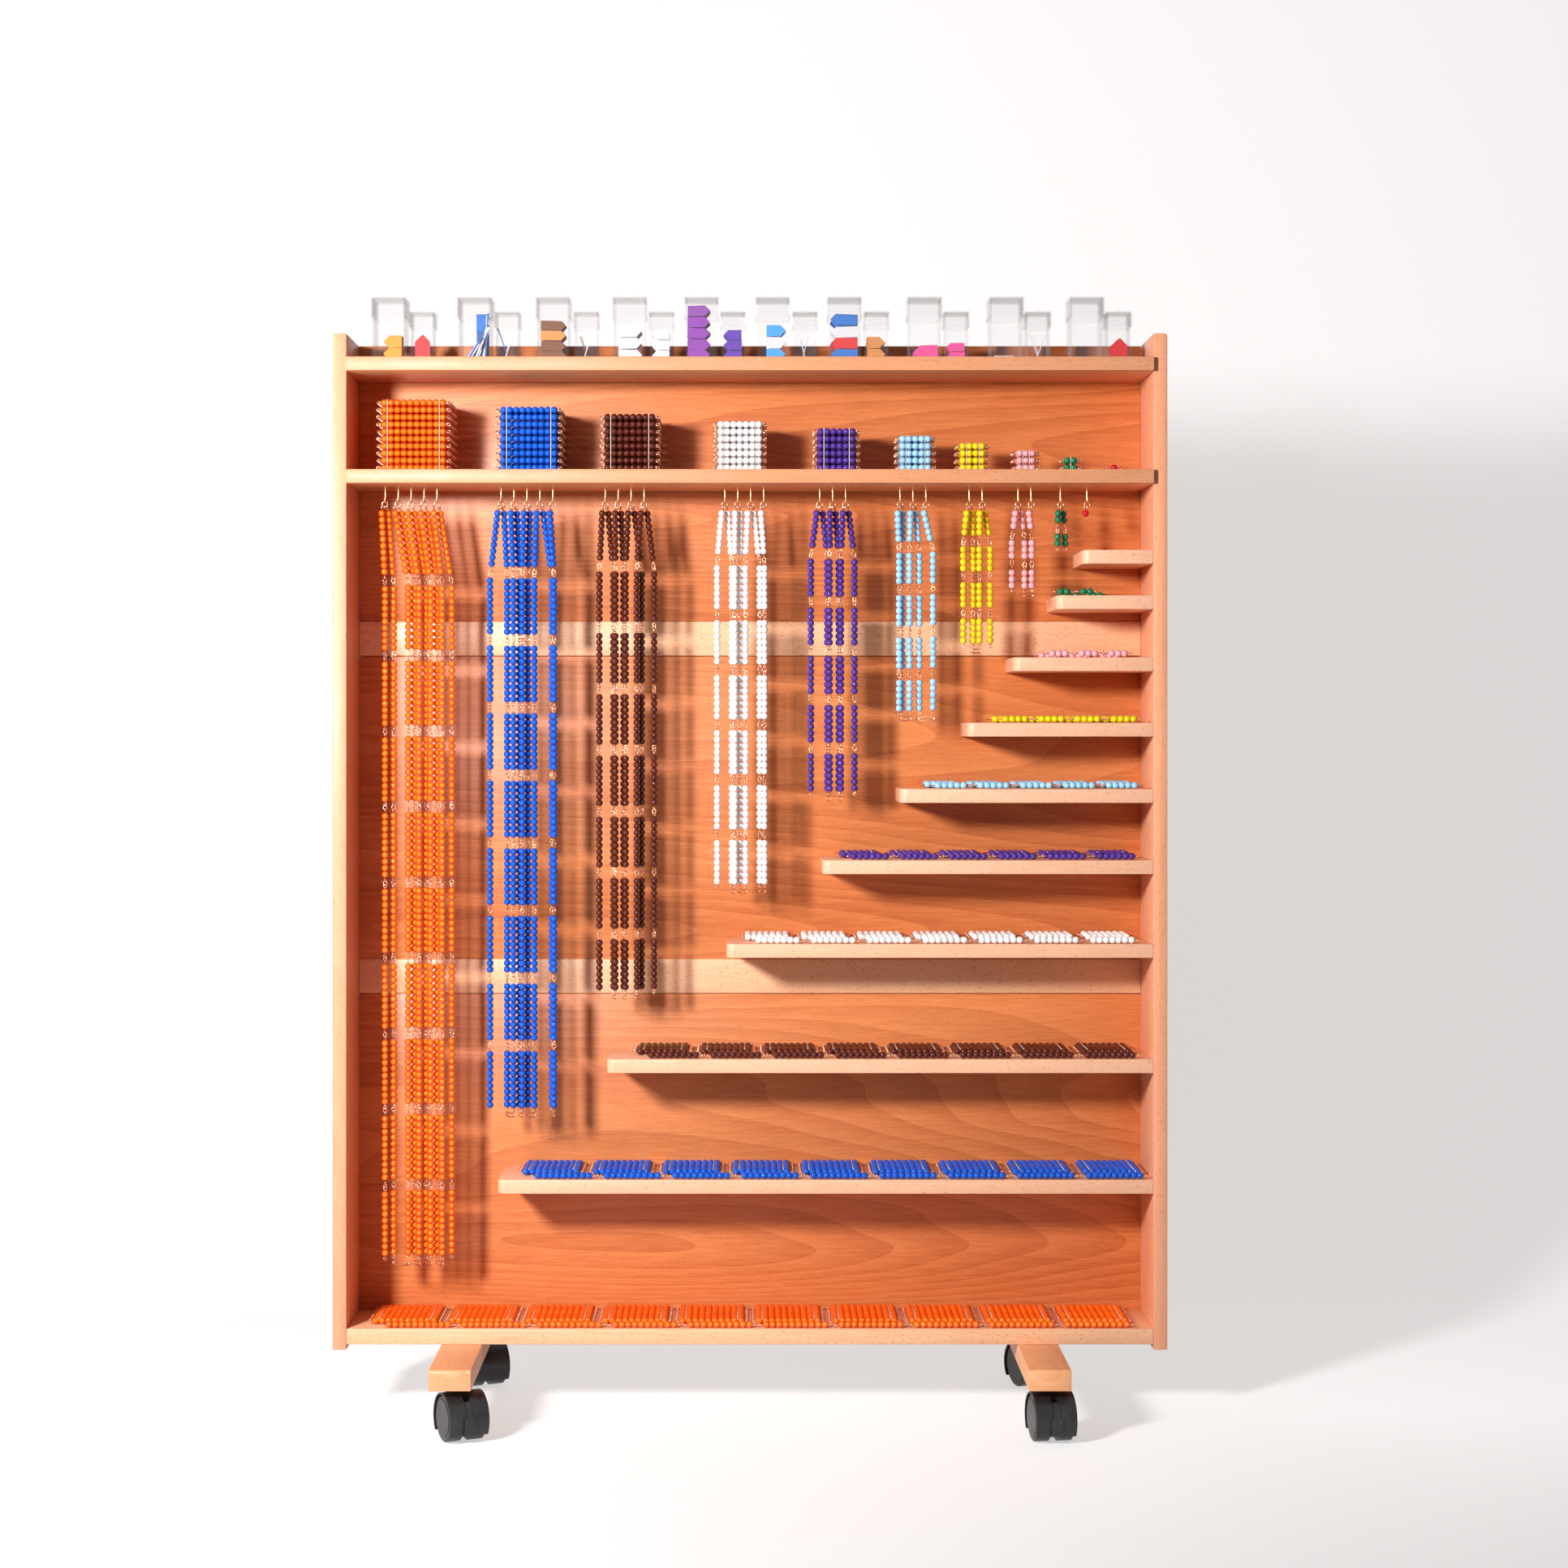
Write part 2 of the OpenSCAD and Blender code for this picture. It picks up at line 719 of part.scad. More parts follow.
function hook_of(j) = floor(j / 2);
function side_of(j) = j % 2 == 0 ? -1 : 1;
function strand_x(n, j) = hook_x(n, 0) + strand_dx[n - 1][j];
function strand_y(j) = chain_y + side_of(j) * stagger;
function fan_top(n, j) = [hook_x(n, hook_of(j)) + side_of(j) * fan_gap, strand_y(j), start_z];
function fan_drop(n, j) = let (dx = strand_x(n, j) - fan_top(n, j)[0]) sqrt(chain_row(n) ^ 2 - dx ^ 2);
function fan_foot(n, j) = [strand_x(n, j), strand_y(j), start_z - fan_drop(n, j)];

module ring_flat(r_out, r_in) {
    difference() {
        circle(r = r_out);
        circle(r = r_in);
    }
}

module oval(l, r) {
    square([l, 2 * r], center = true);
    for (x = [-l / 2, l / 2]) translate([x, 0]) circle(r = r);
}

module flat_wire() {
    rotate([90, 0, 0]) translate([0, 0, -ring_t / 2]) linear_extrude(ring_t) children();
}

// Turns a thing that hangs from p so that it points at q
module aim(p, q) {
    v = p - q;
    translate(p) rotate([0, acos(v[2] / norm(v)), atan2(v[1], v[0])]) children();
}

// n hanging bars of n beads as one turned profile, with a plain wire above and below
module bar_column(n, bars, top, below) {
    h = (bars - 1) * chain_row(n) + bar_l(n);
    translate([0, 0, -h]) rotate_extrude() polygon(concat(
        [[0, -below], [wire_t / 2, -below]],
        [for (k = [0:bars - 1]) each concat(
            bead_points(n, k * chain_row(n)),
            k < bars - 1 ? link_points(k * chain_row(n) + bar_l(n), link_l(n)) : []
        )],
        [[wire_t / 2, h], [wire_t / 2, h + top], [0, h + top]]
    ));
}

// Height at which the strands of a chain end
function chain_low(n) = start_z - fan_drop(n, 0) - (bars_of(n) - 1) * chain_row(n) + link_gap - end_wire;

module strand(n, j) {
    p = fan_top(n, j);
    q = fan_foot(n, j);
    bars = bars_of(n);
    aim(p, q) bar_column(n, 1, 1, bars > 1 ? link_l(n) - 0.7 : end_wire);
    low = q[2] - (bars - 2) * chain_row(n) - bar_l(n);
    if (bars > 1) translate(q) bar_column(n, bars - 1, 0.3, low - chain_low(n));
}

// Flat link below two strands, the back one at x1 and the front one at x2
module low_oval(x1, x2, z) {
    l = norm([x1 - x2, 2 * stagger]);
    translate([(x1 + x2) / 2, chain_y, z]) rotate([0, 0, atan2(2 * stagger, x1 - x2)]) flat_wire() difference() {
        oval(l, low_link);
        oval(l, low_link - wire_t);
    }
}

module hanging_chain(n) {
    for (j = [0:n - 1]) strand(n, j);
    for (i = [0:hooks_of(n) - 1]) translate([hook_x(n, i), chain_y, 0]) {
        translate([0, 0, ring_z]) flat_wire() ring_flat(ring_out, ring_in);
        strap = norm([2 * fan_gap, 2 * stagger]) + 1.6;
        translate([0, 0, start_z + 1.4]) rotate([0, 0, atan2(2 * stagger, 2 * fan_gap)])
            translate([-strap / 2, -1.1, 0]) cube([strap, 2.2, 2.1]);
    }
    if (n > 2) for (j = [1:2:n - 2])
        low_oval(strand_x(n, j), strand_x(n, j + 1), chain_low(n) - low_link - rest_gap);
}

module chain_1() {
    color(bead_colours[0]) hanging_chain(1);
}

module chain_2() {
    color(bead_colours[1]) hanging_chain(2);
}

module chain_3() {
    color(bead_colours[2]) hanging_chain(3);
}

module chain_4() {
    color(bead_colours[3]) hanging_chain(4);
}

module chain_5() {
    color(bead_colours[4]) hanging_chain(5);
}

module chain_6() {
    color(bead_colours[5]) hanging_chain(6);
}

module chain_7() {
    color(bead_colours[6]) hanging_chain(7);
}

module chain_8() {
    color(bead_colours[7]) hanging_chain(8);
}

module chain_9() {
    color(bead_colours[8]) hanging_chain(9);
}

module chain_10() {
    color(bead_colours[9]) hanging_chain(10);
}

module bead_set_1() {
    color(bead_colours[0]) bead_set(1);
}

module bead_set_2() {
    color(bead_colours[1]) bead_set(2);
}

module bead_set_3() {
    color(bead_colours[2]) bead_set(3);
}

module bead_set_4() {
    color(bead_colours[3]) bead_set(4);
}

module bead_set_5() {
    color(bead_colours[4]) bead_set(5);
}

module bead_set_6() {
    color(bead_colours[5]) bead_set(6);
}

module bead_set_7() {
    color(bead_colours[6]) bead_set(7);
}

module bead_set_8() {
    color(bead_colours[7]) bead_set(8);
}

module bead_set_9() {
    color(bead_colours[8]) bead_set(9);
}

module bead_set_10() {
    color(bead_colours[9]) bead_set(10);
}

left_side();
right_side();
top_shelf();
cube_shelf();
bottom_shelf();
step_shelf_1();
step_shelf_2();
step_shelf_3();
step_shelf_4();
step_shelf_5();
step_shelf_6();
step_shelf_7();
step_shelf_8();
step_shelf_9();
back_upper();
back_middle();
back_lower();
rail_upper();
rail_lower();
foot_left();
foot_right();
caster_stems();
hood_front_left();
hood_front_right();
hood_back_left();
hood_back_right();
wheels_front_left();
wheels_front_right();
wheels_back_left();
wheels_back_right();
brake_front_left();
brake_front_right();
hooks();
large_boxes();
large_lids();
small_boxes();
small_lids();
tickets();
chain_1();
chain_2();
chain_3();
chain_4();
chain_5();
chain_6();
chain_7();
chain_8();
chain_9();
chain_10();
bead_set_1();
bead_set_2();
bead_set_3();
bead_set_4();
bead_set_5();
bead_set_6();
bead_set_7();
bead_set_8();
bead_set_9();
bead_set_10();
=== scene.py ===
import math
import random

import bpy
from mathutils import Matrix, Vector


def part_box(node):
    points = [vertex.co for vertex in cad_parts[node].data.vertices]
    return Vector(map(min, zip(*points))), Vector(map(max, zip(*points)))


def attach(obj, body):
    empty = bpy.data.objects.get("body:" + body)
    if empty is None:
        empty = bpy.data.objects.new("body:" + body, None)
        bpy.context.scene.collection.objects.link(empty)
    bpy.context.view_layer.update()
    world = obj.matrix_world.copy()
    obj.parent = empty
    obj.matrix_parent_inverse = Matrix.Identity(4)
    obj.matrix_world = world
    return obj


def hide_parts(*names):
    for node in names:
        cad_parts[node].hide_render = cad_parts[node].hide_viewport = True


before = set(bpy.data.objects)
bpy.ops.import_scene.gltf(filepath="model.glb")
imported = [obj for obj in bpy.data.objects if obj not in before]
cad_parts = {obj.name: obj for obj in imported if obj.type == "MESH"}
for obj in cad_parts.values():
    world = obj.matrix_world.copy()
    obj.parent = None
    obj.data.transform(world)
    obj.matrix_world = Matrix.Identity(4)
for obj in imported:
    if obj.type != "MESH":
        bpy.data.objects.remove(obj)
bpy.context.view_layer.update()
mm = 0.001

# places in mm, as the CAD has them; a step level is a share of the way up from the bottom shelf to the hooks
cabinet = {
    "frontY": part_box("left_side")[0].y / mm,
    "panelY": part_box("back_upper")[0].y / mm,
    "topShelf": 1213.6,
    "cubeShelf": 1084.9,
    "hangZ": 1068.9,
    "bottomShelf": 101.0,
    "stepLevels": [0.9217, 0.8679, 0.7946, 0.7171, 0.6386, 0.5544, 0.4553, 0.319, 0.1763, 0.0],
}


def deselectAll():
    if bpy.context.object and bpy.context.object.mode != "OBJECT":
        bpy.ops.object.mode_set(mode="OBJECT")
    bpy.ops.object.select_all(action="DESELECT")


def makeActive(piece):
    deselectAll()
    piece.select_set(True)
    bpy.context.view_layer.objects.active = piece


def applyModifiers(piece):
    makeActive(piece)
    for modifier in list(piece.modifiers):
        bpy.ops.object.modifier_apply(modifier=modifier.name)


def applyPlace(piece):
    makeActive(piece)
    bpy.ops.object.transform_apply(location=True, rotation=True, scale=True)


def selectInEdit(piece, kind, test):
    # picks vertices, edges or faces by their place, then stays in edit mode
    makeActive(piece)
    bpy.ops.object.mode_set(mode="EDIT")
    bpy.ops.mesh.select_mode(type=kind)
    bpy.ops.mesh.select_all(action="DESELECT")
    bpy.ops.object.mode_set(mode="OBJECT")
    mesh = piece.data
    if kind == "VERT":
        for vertex in mesh.vertices:
            vertex.select = test(vertex.co)
    elif kind == "EDGE":
        for edge in mesh.edges:
            edge.select = test(*[mesh.vertices[i].co for i in edge.vertices])
    else:
        for face in mesh.polygons:
            face.select = test(face.center, face.normal)
    bpy.ops.object.mode_set(mode="EDIT")


def bothAt(a, b, axis, value):
    # whether both ends of an edge lie at this value of axis 0, 1 or 2
    near = 0.1 * mm
    return abs(a[axis] - value) < near and abs(b[axis] - value) < near


def roundEdges(piece, test, radius, segments):
    selectInEdit(piece, "EDGE", test)
    bpy.ops.mesh.bevel(offset=radius, segments=segments, affect="EDGES")
    bpy.ops.object.mode_set(mode="OBJECT")


def joinPieces(parts, name):
    deselectAll()
    for part in parts:
        part.select_set(True)
    bpy.context.view_layer.objects.active = parts[0]
    if len(parts) > 1:
        bpy.ops.object.join()
    joined = bpy.context.view_layer.objects.active
    joined.name = name
    joined.data.name = name
    return joined


def placeCopies(master, name, places):
    # each copy has its own mesh, and all of them join into one piece
    copies = []
    for place in places:
        mesh = master.data.copy()
        mesh.transform(place)
        copy = bpy.data.objects.new(name, mesh)
        bpy.context.collection.objects.link(copy)
        copies.append(copy)
    return joinPieces(copies, name)


def dropMaster(master):
    bpy.data.objects.remove(master)


def finishPiece(piece, material, body="cabinet", stands=()):
    piece.data.materials.clear()
    piece.data.materials.append(material)
    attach(piece, body)
    if stands:
        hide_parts(*stands)
    return piece


def at(x, y, z):
    return Matrix.Translation(Vector((x, y, z)) * mm)


def stepZ(n):
    # the upper face of the shelf that carries set n
    span = cabinet["hangZ"] - cabinet["bottomShelf"]
    return cabinet["bottomShelf"] + cabinet["stepLevels"][n - 1] * span


def newGroup(name, inputs, outputs):
    group = bpy.data.node_groups.new(name, "ShaderNodeTree")
    for label, kind, value in inputs:
        socket = group.interface.new_socket(name=label, in_out="INPUT", socket_type=kind)
        if value is not None:
            socket.default_value = value
    for label, kind in outputs:
        group.interface.new_socket(name=label, in_out="OUTPUT", socket_type=kind)
    start = group.nodes.new("NodeGroupInput")
    end = group.nodes.new("NodeGroupOutput")
    return group, start, end


def setInput(tree, socket, value):
    # a number or a tuple is set on the socket, and anything else is linked to it
    if isinstance(value, (int, float, tuple)):
        socket.default_value = value
    else:
        tree.links.new(value, socket)


def addMath(tree, operation, a, b, clamp=False):
    node = tree.nodes.new("ShaderNodeMath")
    node.operation = operation
    node.use_clamp = clamp
    setInput(tree, node.inputs[0], a)
    setInput(tree, node.inputs[1], b)
    return node.outputs[0]


def addVectorMath(tree, operation, a, b):
    node = tree.nodes.new("ShaderNodeVectorMath")
    node.operation = operation
    setInput(tree, node.inputs[0], a)
    setInput(tree, node.inputs[1], b)
    return node.outputs[0]


def addNoise(tree, vector, scale, detail=3.0, roughness=0.5):
    node = tree.nodes.new("ShaderNodeTexNoise")
    setInput(tree, node.inputs["Scale"], scale)
    node.inputs["Detail"].default_value = detail
    node.inputs["Roughness"].default_value = roughness
    tree.links.new(vector, node.inputs["Vector"])
    return node


def addRange(tree, value, fromSpan, toSpan=(0.0, 1.0)):
    node = tree.nodes.new("ShaderNodeMapRange")
    for label, number in zip(("From Min", "From Max", "To Min", "To Max"), (*fromSpan, *toSpan)):
        node.inputs[label].default_value = number
    tree.links.new(value, node.inputs["Value"])
    return node.outputs["Result"]


def addMix(tree, factor, first, second):
    node = tree.nodes.new("ShaderNodeMix")
    node.data_type = "RGBA"
    tree.links.new(factor, node.inputs["Factor"])
    for socket, value in ((node.inputs[6], first), (node.inputs[7], second)):
        setInput(tree, socket, (*value, 1.0) if isinstance(value, tuple) else value)
    return node.outputs[2]


# most values of a noise lie in the wide span, and the close one makes clearer patches of it
wideSpan = (0.3, 0.7)
closeSpan = (0.35, 0.65)
gritFineness = 40.0

beech = {
    "grainStretch": (0.11, 1.0, 1.0),
    "swayScale": 7.0,
    "sway": (0.0, 0.085, 0.085),
    "ringScale": 5.0,
    "ringCount": 40.0,
    "ringShare": 0.34,
    "fibreStretch": (0.05, 1.0, 1.0),
    "fibreScale": 520.0,
    "fibreShare": 0.38,
    "fibreHeight": 0.6,
    "cloudScale": 11.0,
    "cloudShare": 0.4,
    "fleckStretch": (0.22, 1.0, 1.0),
    "fleckScale": 760.0,
    "fleckSpan": (0.63, 0.7),
}


def makeBeechGrain():
    # X of the vector runs along the grain
    group, start, end = newGroup(
        "beechGrain",
        [("Vector", "NodeSocketVector", None), ("Figure", "NodeSocketFloat", 1.0),
         ("Flecks", "NodeSocketFloat", 1.0)],
        [("Tone", "NodeSocketFloat"), ("Fleck", "NodeSocketFloat"), ("Height", "NodeSocketFloat")],
    )
    place = start.outputs["Vector"]
    along = addVectorMath(group, "MULTIPLY", place, beech["grainStretch"])
    sway = addNoise(group, along, beech["swayScale"], 2.0)
    centred = addVectorMath(group, "SUBTRACT", sway.outputs["Color"], (0.5, 0.5, 0.5))
    bent = addVectorMath(group, "ADD", along, addVectorMath(group, "MULTIPLY", centred, beech["sway"]))
    # the year rings are the contour lines of a slow noise, so that they close into long lenses
    slow = addNoise(group, bent, beech["ringScale"], 0.6, 0.4)
    counted = addMath(group, "MULTIPLY", slow.outputs["Fac"], beech["ringCount"])
    rings = addMath(group, "MULTIPLY", addMath(group, "FRACT", counted, 0.0), start.outputs["Figure"])
    ringTone = addMath(group, "MULTIPLY", rings, beech["ringShare"])
    fibreVector = addVectorMath(group, "MULTIPLY", place, beech["fibreStretch"])
    fibre = addNoise(group, fibreVector, beech["fibreScale"], 3.0, 0.65).outputs["Fac"]
    fibreTone = addMath(group, "MULTIPLY", addRange(group, fibre, wideSpan), beech["fibreShare"])
    cloud = addNoise(group, along, beech["cloudScale"], 2.0).outputs["Fac"]
    cloudTone = addMath(group, "MULTIPLY", addRange(group, cloud, wideSpan), beech["cloudShare"])
    tone = addMath(group, "ADD", addMath(group, "ADD", ringTone, fibreTone), cloudTone, clamp=True)
    group.links.new(tone, end.inputs["Tone"])
    fleckVector = addVectorMath(group, "MULTIPLY", place, beech["fleckStretch"])
    flecks = addNoise(group, fleckVector, beech["fleckScale"], 1.0, 0.4)
    fleck = addRange(group, flecks.outputs["Fac"], beech["fleckSpan"])
    group.links.new(addMath(group, "MULTIPLY", fleck, start.outputs["Flecks"]), end.inputs["Fleck"])
    raised = addMath(group, "MULTIPLY", fibre, beech["fibreHeight"])
    group.links.new(addMath(group, "ADD", raised, ringTone), end.inputs["Height"])
    return group


def makeHandling():
    # faint smears and a much finer grit for anything that is touched
    group, start, end = newGroup(
        "handling",
        [("Vector", "NodeSocketVector", None), ("Scale", "NodeSocketFloat", 40.0)],
        [("Smear", "NodeSocketFloat"), ("Grit", "NodeSocketFloat")],
    )
    place, scale = start.outputs["Vector"], start.outputs["Scale"]
    smear = addNoise(group, place, scale, 3.0)
    grit = addNoise(group, place, addMath(group, "MULTIPLY", scale, gritFineness), 2.0)
    group.links.new(smear.outputs["Fac"], end.inputs["Smear"])
    group.links.new(grit.outputs["Fac"], end.inputs["Grit"])
    return group


beechGrain = makeBeechGrain()
handling = makeHandling()


def newMaterial(name):
    material = bpy.data.materials.new(name)
    material.use_nodes = True
    tree = material.node_tree
    shader = tree.nodes["Principled BSDF"]
    coords = tree.nodes.new("ShaderNodeTexCoord")
    return material, tree, shader, coords.outputs["Object"]


def addGroup(tree, group, vector):
    node = tree.nodes.new("ShaderNodeGroup")
    node.node_tree = group
    tree.links.new(vector, node.inputs["Vector"])
    return node


def addBump(tree, shader, height, relief):
    strength, distance = relief
    bump = tree.nodes.new("ShaderNodeBump")
    bump.inputs["Strength"].default_value = strength
    bump.inputs["Distance"].default_value = distance
    tree.links.new(height, bump.inputs["Height"])
    tree.links.new(bump.outputs["Normal"], shader.inputs["Normal"])


def addRim(tree, blend):
    # 0 where a surface faces the eye and 1 where it turns away
    rim = tree.nodes.new("ShaderNodeLayerWeight")
    rim.inputs["Blend"].default_value = blend
    return rim.outputs["Facing"]


# scale is how fine the handling marks or a paper's fibres are, and rough the roughness that they give;
# patches is the span of marks that turns a colour to its worn share, and relief a bump's strength and depth
finishes = {
    "wood": {"scale": 9.0, "marks": "Smear", "rough": (0.36, 0.5), "specular": 0.4, "coat": 0.0,
             "relief": (0.25, 0.0004)},
    "gloss": {"scale": 60.0, "marks": "Smear", "rough": (0.1, 0.24), "specular": 0.3, "coat": 0.08,
              "patches": closeSpan, "worn": 0.8},
    "amber": {"scale": 60.0, "marks": "Smear", "rough": (0.08, 0.2), "specular": 0.4, "coat": 0.15,
              "patches": closeSpan},
    "wire": {"scale": 120.0, "marks": "Grit", "rough": (0.26, 0.41), "specular": 0.5, "coat": 0.0,
             "patches": (0.4, 0.7), "worn": 0.7},
    "steel": {"scale": 120.0, "marks": "Grit", "rough": (0.3, 0.45), "specular": 0.5, "coat": 0.0,
              "patches": (0.4, 0.7), "worn": 0.7},
    "black": {"scale": 30.0, "marks": "Smear", "rough": (0.3, 0.45), "specular": 0.5, "coat": 0.0,
              "patches": (0.45, 0.75), "relief": (0.25, 0.0001)},
    "clear": {"scale": 35.0, "marks": "Smear", "rough": (0.04, 0.12), "specular": 0.2, "coat": 0.0},
    "paper": {"scale": 900.0, "rough": 0.75, "patches": closeSpan, "worn": 0.86, "relief": (0.2, 0.0001)},
}


def addFinish(tree, shader, coords, finishName):
    # sets how the surface shines, and gives back its smears and grit
    finish = finishes[finishName]
    touch = addGroup(tree, handling, coords)
    touch.inputs["Scale"].default_value = finish["scale"]
    rough = addRange(tree, touch.outputs[finish["marks"]], wideSpan, finish["rough"])
    tree.links.new(rough, shader.inputs["Roughness"])
    shader.inputs["Specular IOR Level"].default_value = finish["specular"]
    shader.inputs["Coat Weight"].default_value = finish["coat"]
    return touch.outputs


def addWornTone(tree, shader, wear, colour, finishName):
    # patches of the colour's worn share where the wear is high
    finish = finishes[finishName]
    worn = tuple(c * finish["worn"] for c in colour)
    tone = addMix(tree, addRange(tree, wear, finish["patches"]), colour, worn)
    tree.links.new(tone, shader.inputs["Base Color"])


# light and dark are the pale and the deep tone of the board
woodLooks = {
    "backBeech": {"light": (0.8, 0.27, 0.088), "dark": (0.46, 0.112, 0.028), "fleck": (0.36, 0.1, 0.035),
                  "figure": 1.0, "flecks": 0.3, "turn": (0, 0, 0), "shift": (0.3, 0.0, 0.13)},
    "topBeech": {"light": (0.76, 0.34, 0.18), "dark": (0.62, 0.24, 0.11), "fleck": (0.4, 0.15, 0.06),
                 "figure": 0.35, "flecks": 0.4, "turn": (0, 0, 0), "shift": (0.9, 0.1, 0.3)},
    "railBeech": {"light": (0.92, 0.53, 0.32), "dark": (0.74, 0.34, 0.17), "fleck": (0.56, 0.26, 0.12),
                  "figure": 0.25, "flecks": 0.8, "turn": (0, 0, 0), "shift": (1.4, 0.0, 0.2)},
    "shelfBeech": {"light": (0.92, 0.52, 0.34), "dark": (0.78, 0.38, 0.22), "fleck": (0.46, 0.18, 0.08),
                   "figure": 0.35, "flecks": 0.5, "turn": (0, 0, 0), "shift": (2.1, 0.3, 0.0)},
    "sideBeech": {"light": (0.85, 0.4, 0.23), "dark": (0.7, 0.27, 0.14), "fleck": (0.46, 0.17, 0.08),
                  "figure": 0.4, "flecks": 0.5, "turn": (0, 90, 0), "shift": (0.7, 0.2, 0.0)},
    "footBeech": {"light": (0.9, 0.46, 0.24), "dark": (0.72, 0.3, 0.13), "fleck": (0.44, 0.17, 0.07),
                  "figure": 0.9, "flecks": 0.4, "turn": (0, 0, 90), "shift": (0.1, 0.5, 0.0)},
}


def makeWood(name):
    look = woodLooks[name]
    material, tree, shader, coords = newMaterial(name)
    mapping = tree.nodes.new("ShaderNodeMapping")
    mapping.inputs["Rotation"].default_value = [math.radians(a) for a in look["turn"]]
    mapping.inputs["Location"].default_value = look["shift"]
    tree.links.new(coords, mapping.inputs["Vector"])
    grain = addGroup(tree, beechGrain, mapping.outputs["Vector"])
    grain.inputs["Figure"].default_value = look["figure"]
    grain.inputs["Flecks"].default_value = look["flecks"]
    board = addMix(tree, grain.outputs["Tone"], look["light"], look["dark"])
    colour = addMix(tree, grain.outputs["Fleck"], board, look["fleck"])
    tree.links.new(colour, shader.inputs["Base Color"])
    addFinish(tree, shader, coords, "wood")
    addBump(tree, shader, grain.outputs["Height"], finishes["wood"]["relief"])
    return material


beadNames = ["red", "green", "pink", "yellow", "light_blue", "purple", "white", "brown", "blue", "amber"]
beadColours = {
    "red": (0.62, 0.008, 0.015),
    "green": (0.004, 0.2, 0.075),
    "pink": (0.95, 0.42, 0.46),
    "yellow": (0.9, 0.66, 0.008),
    "light_blue": (0.36, 0.66, 0.95),
    "purple": (0.085, 0.03, 0.28),
    "white": (0.95, 0.93, 0.94),
    "brown": (0.1, 0.014, 0.007),
    "blue": (0.004, 0.1, 0.62),
}


def makeBeadGloss(name, colour):
    material, tree, shader, coords = newMaterial("beads_" + name)
    marks = addFinish(tree, shader, coords, "gloss")
    addWornTone(tree, shader, marks["Smear"], colour, "gloss")
    return material


# middle is a painted golden light and edge a painted shade at the rim; glow and the values after it are a
# painted glow, though the bead is no lamp
amber = {
    "middle": (1.0, 0.15, 0.004),
    "edge": (0.55, 0.02, 0.0005),
    "paintedRimShadeSpan": (0.1, 0.8),
    "smeared": (0.6, 0.04, 0.001),
    "mostSmear": 0.35,
    "glow": (1.0, 0.4, 0.015),
    "paintedGlowEdge": (0.25, 0.005, 0.0),
    "paintedGlowSpan": (0.0, 0.3),
    "paintedGlowStrength": 0.22,
    "rimBlend": 0.35,
}


def makeAmber():
    # clear orange beads with painted light: a painted shade deepens the rim, a painted golden light fills
    # the middle where the light gathers, and an emission adds a painted glow
    material, tree, shader, coords = newMaterial("beads_amber")
    marks = addFinish(tree, shader, coords, "amber")
    rim = addRim(tree, amber["rimBlend"])
    # painted light in the middle and painted shade towards the rim, by how the surface faces the eye
    body = addMix(tree, addRange(tree, rim, amber["paintedRimShadeSpan"]), amber["middle"], amber["edge"])
    shade = addRange(tree, marks["Smear"], finishes["amber"]["patches"], (0.0, amber["mostSmear"]))
    tree.links.new(addMix(tree, shade, body, amber["smeared"]), shader.inputs["Base Color"])
    # painted glow: an emission, golden in the middle and dark at the rim, for light shining through the bead
    glow = addMix(tree, addRange(tree, rim, amber["paintedGlowSpan"]), amber["glow"], amber["paintedGlowEdge"])
    tree.links.new(glow, shader.inputs["Emission Color"])
    shader.inputs["Emission Strength"].default_value = amber["paintedGlowStrength"]
    return material


def makeMetal(name, colour, finishName):
    material, tree, shader, coords = newMaterial(name)
    marks = addFinish(tree, shader, coords, finishName)
    addWornTone(tree, shader, marks["Smear"], colour, finishName)
    shader.inputs["Metallic"].default_value = 1.0
    return material


def makeBlackPlastic(clean, worn):
    material, tree, shader, coords = newMaterial("blackPlastic")
    marks = addFinish(tree, shader, coords, "black")
    tone = addMix(tree, addRange(tree, marks["Smear"], finishes["black"]["patches"]), clean, worn)
    tree.links.new(tone, shader.inputs["Base Color"])
    addBump(tree, shader, marks["Grit"], finishes["black"]["relief"])
    return material


def makeClearPlastic(clean, smeared, rimBlend, alphaSpan):
    # a wall is clearest where it faces the eye
    material, tree, shader, coords = newMaterial("clearPlastic")
    marks = addFinish(tree, shader, coords, "clear")
    tree.links.new(addMix(tree, marks["Smear"], clean, smeared), shader.inputs["Base Color"])
    tree.links.new(addRange(tree, addRim(tree, rimBlend), (0.0, 1.0), alphaSpan), shader.inputs["Alpha"])
    return material


def makePaper(name, colour):
    material, tree, shader, coords = newMaterial(name)
    fibre = addNoise(tree, coords, finishes["paper"]["scale"], 3.0).outputs["Fac"]
    addWornTone(tree, shader, fibre, colour, "paper")
    shader.inputs["Roughness"].default_value = finishes["paper"]["rough"]
    addBump(tree, shader, fibre, finishes["paper"]["relief"])
    return material


woods = {name: makeWood(name) for name in woodLooks}
beadGloss = {name: makeBeadGloss(name, colour) for name, colour in beadColours.items()}
beadGloss["amber"] = makeAmber()
copper = makeMetal("copperWire", (0.96, 0.52, 0.35), "wire")
brassMetal = makeMetal("brassHook", (0.86, 0.62, 0.26), "wire")
steelMetal = makeMetal("zincSteel", (0.55, 0.55, 0.56), "steel")
blackPlastic = makeBlackPlastic((0.012, 0.011, 0.012), (0.03, 0.027, 0.027))
clearPlastic = makeClearPlastic((0.62, 0.52, 0.54), (0.52, 0.44, 0.46), 0.25, (0.03, 0.55))
tieString = makePaper("tieWire", (0.86, 0.74, 0.6))
print("materials ready")

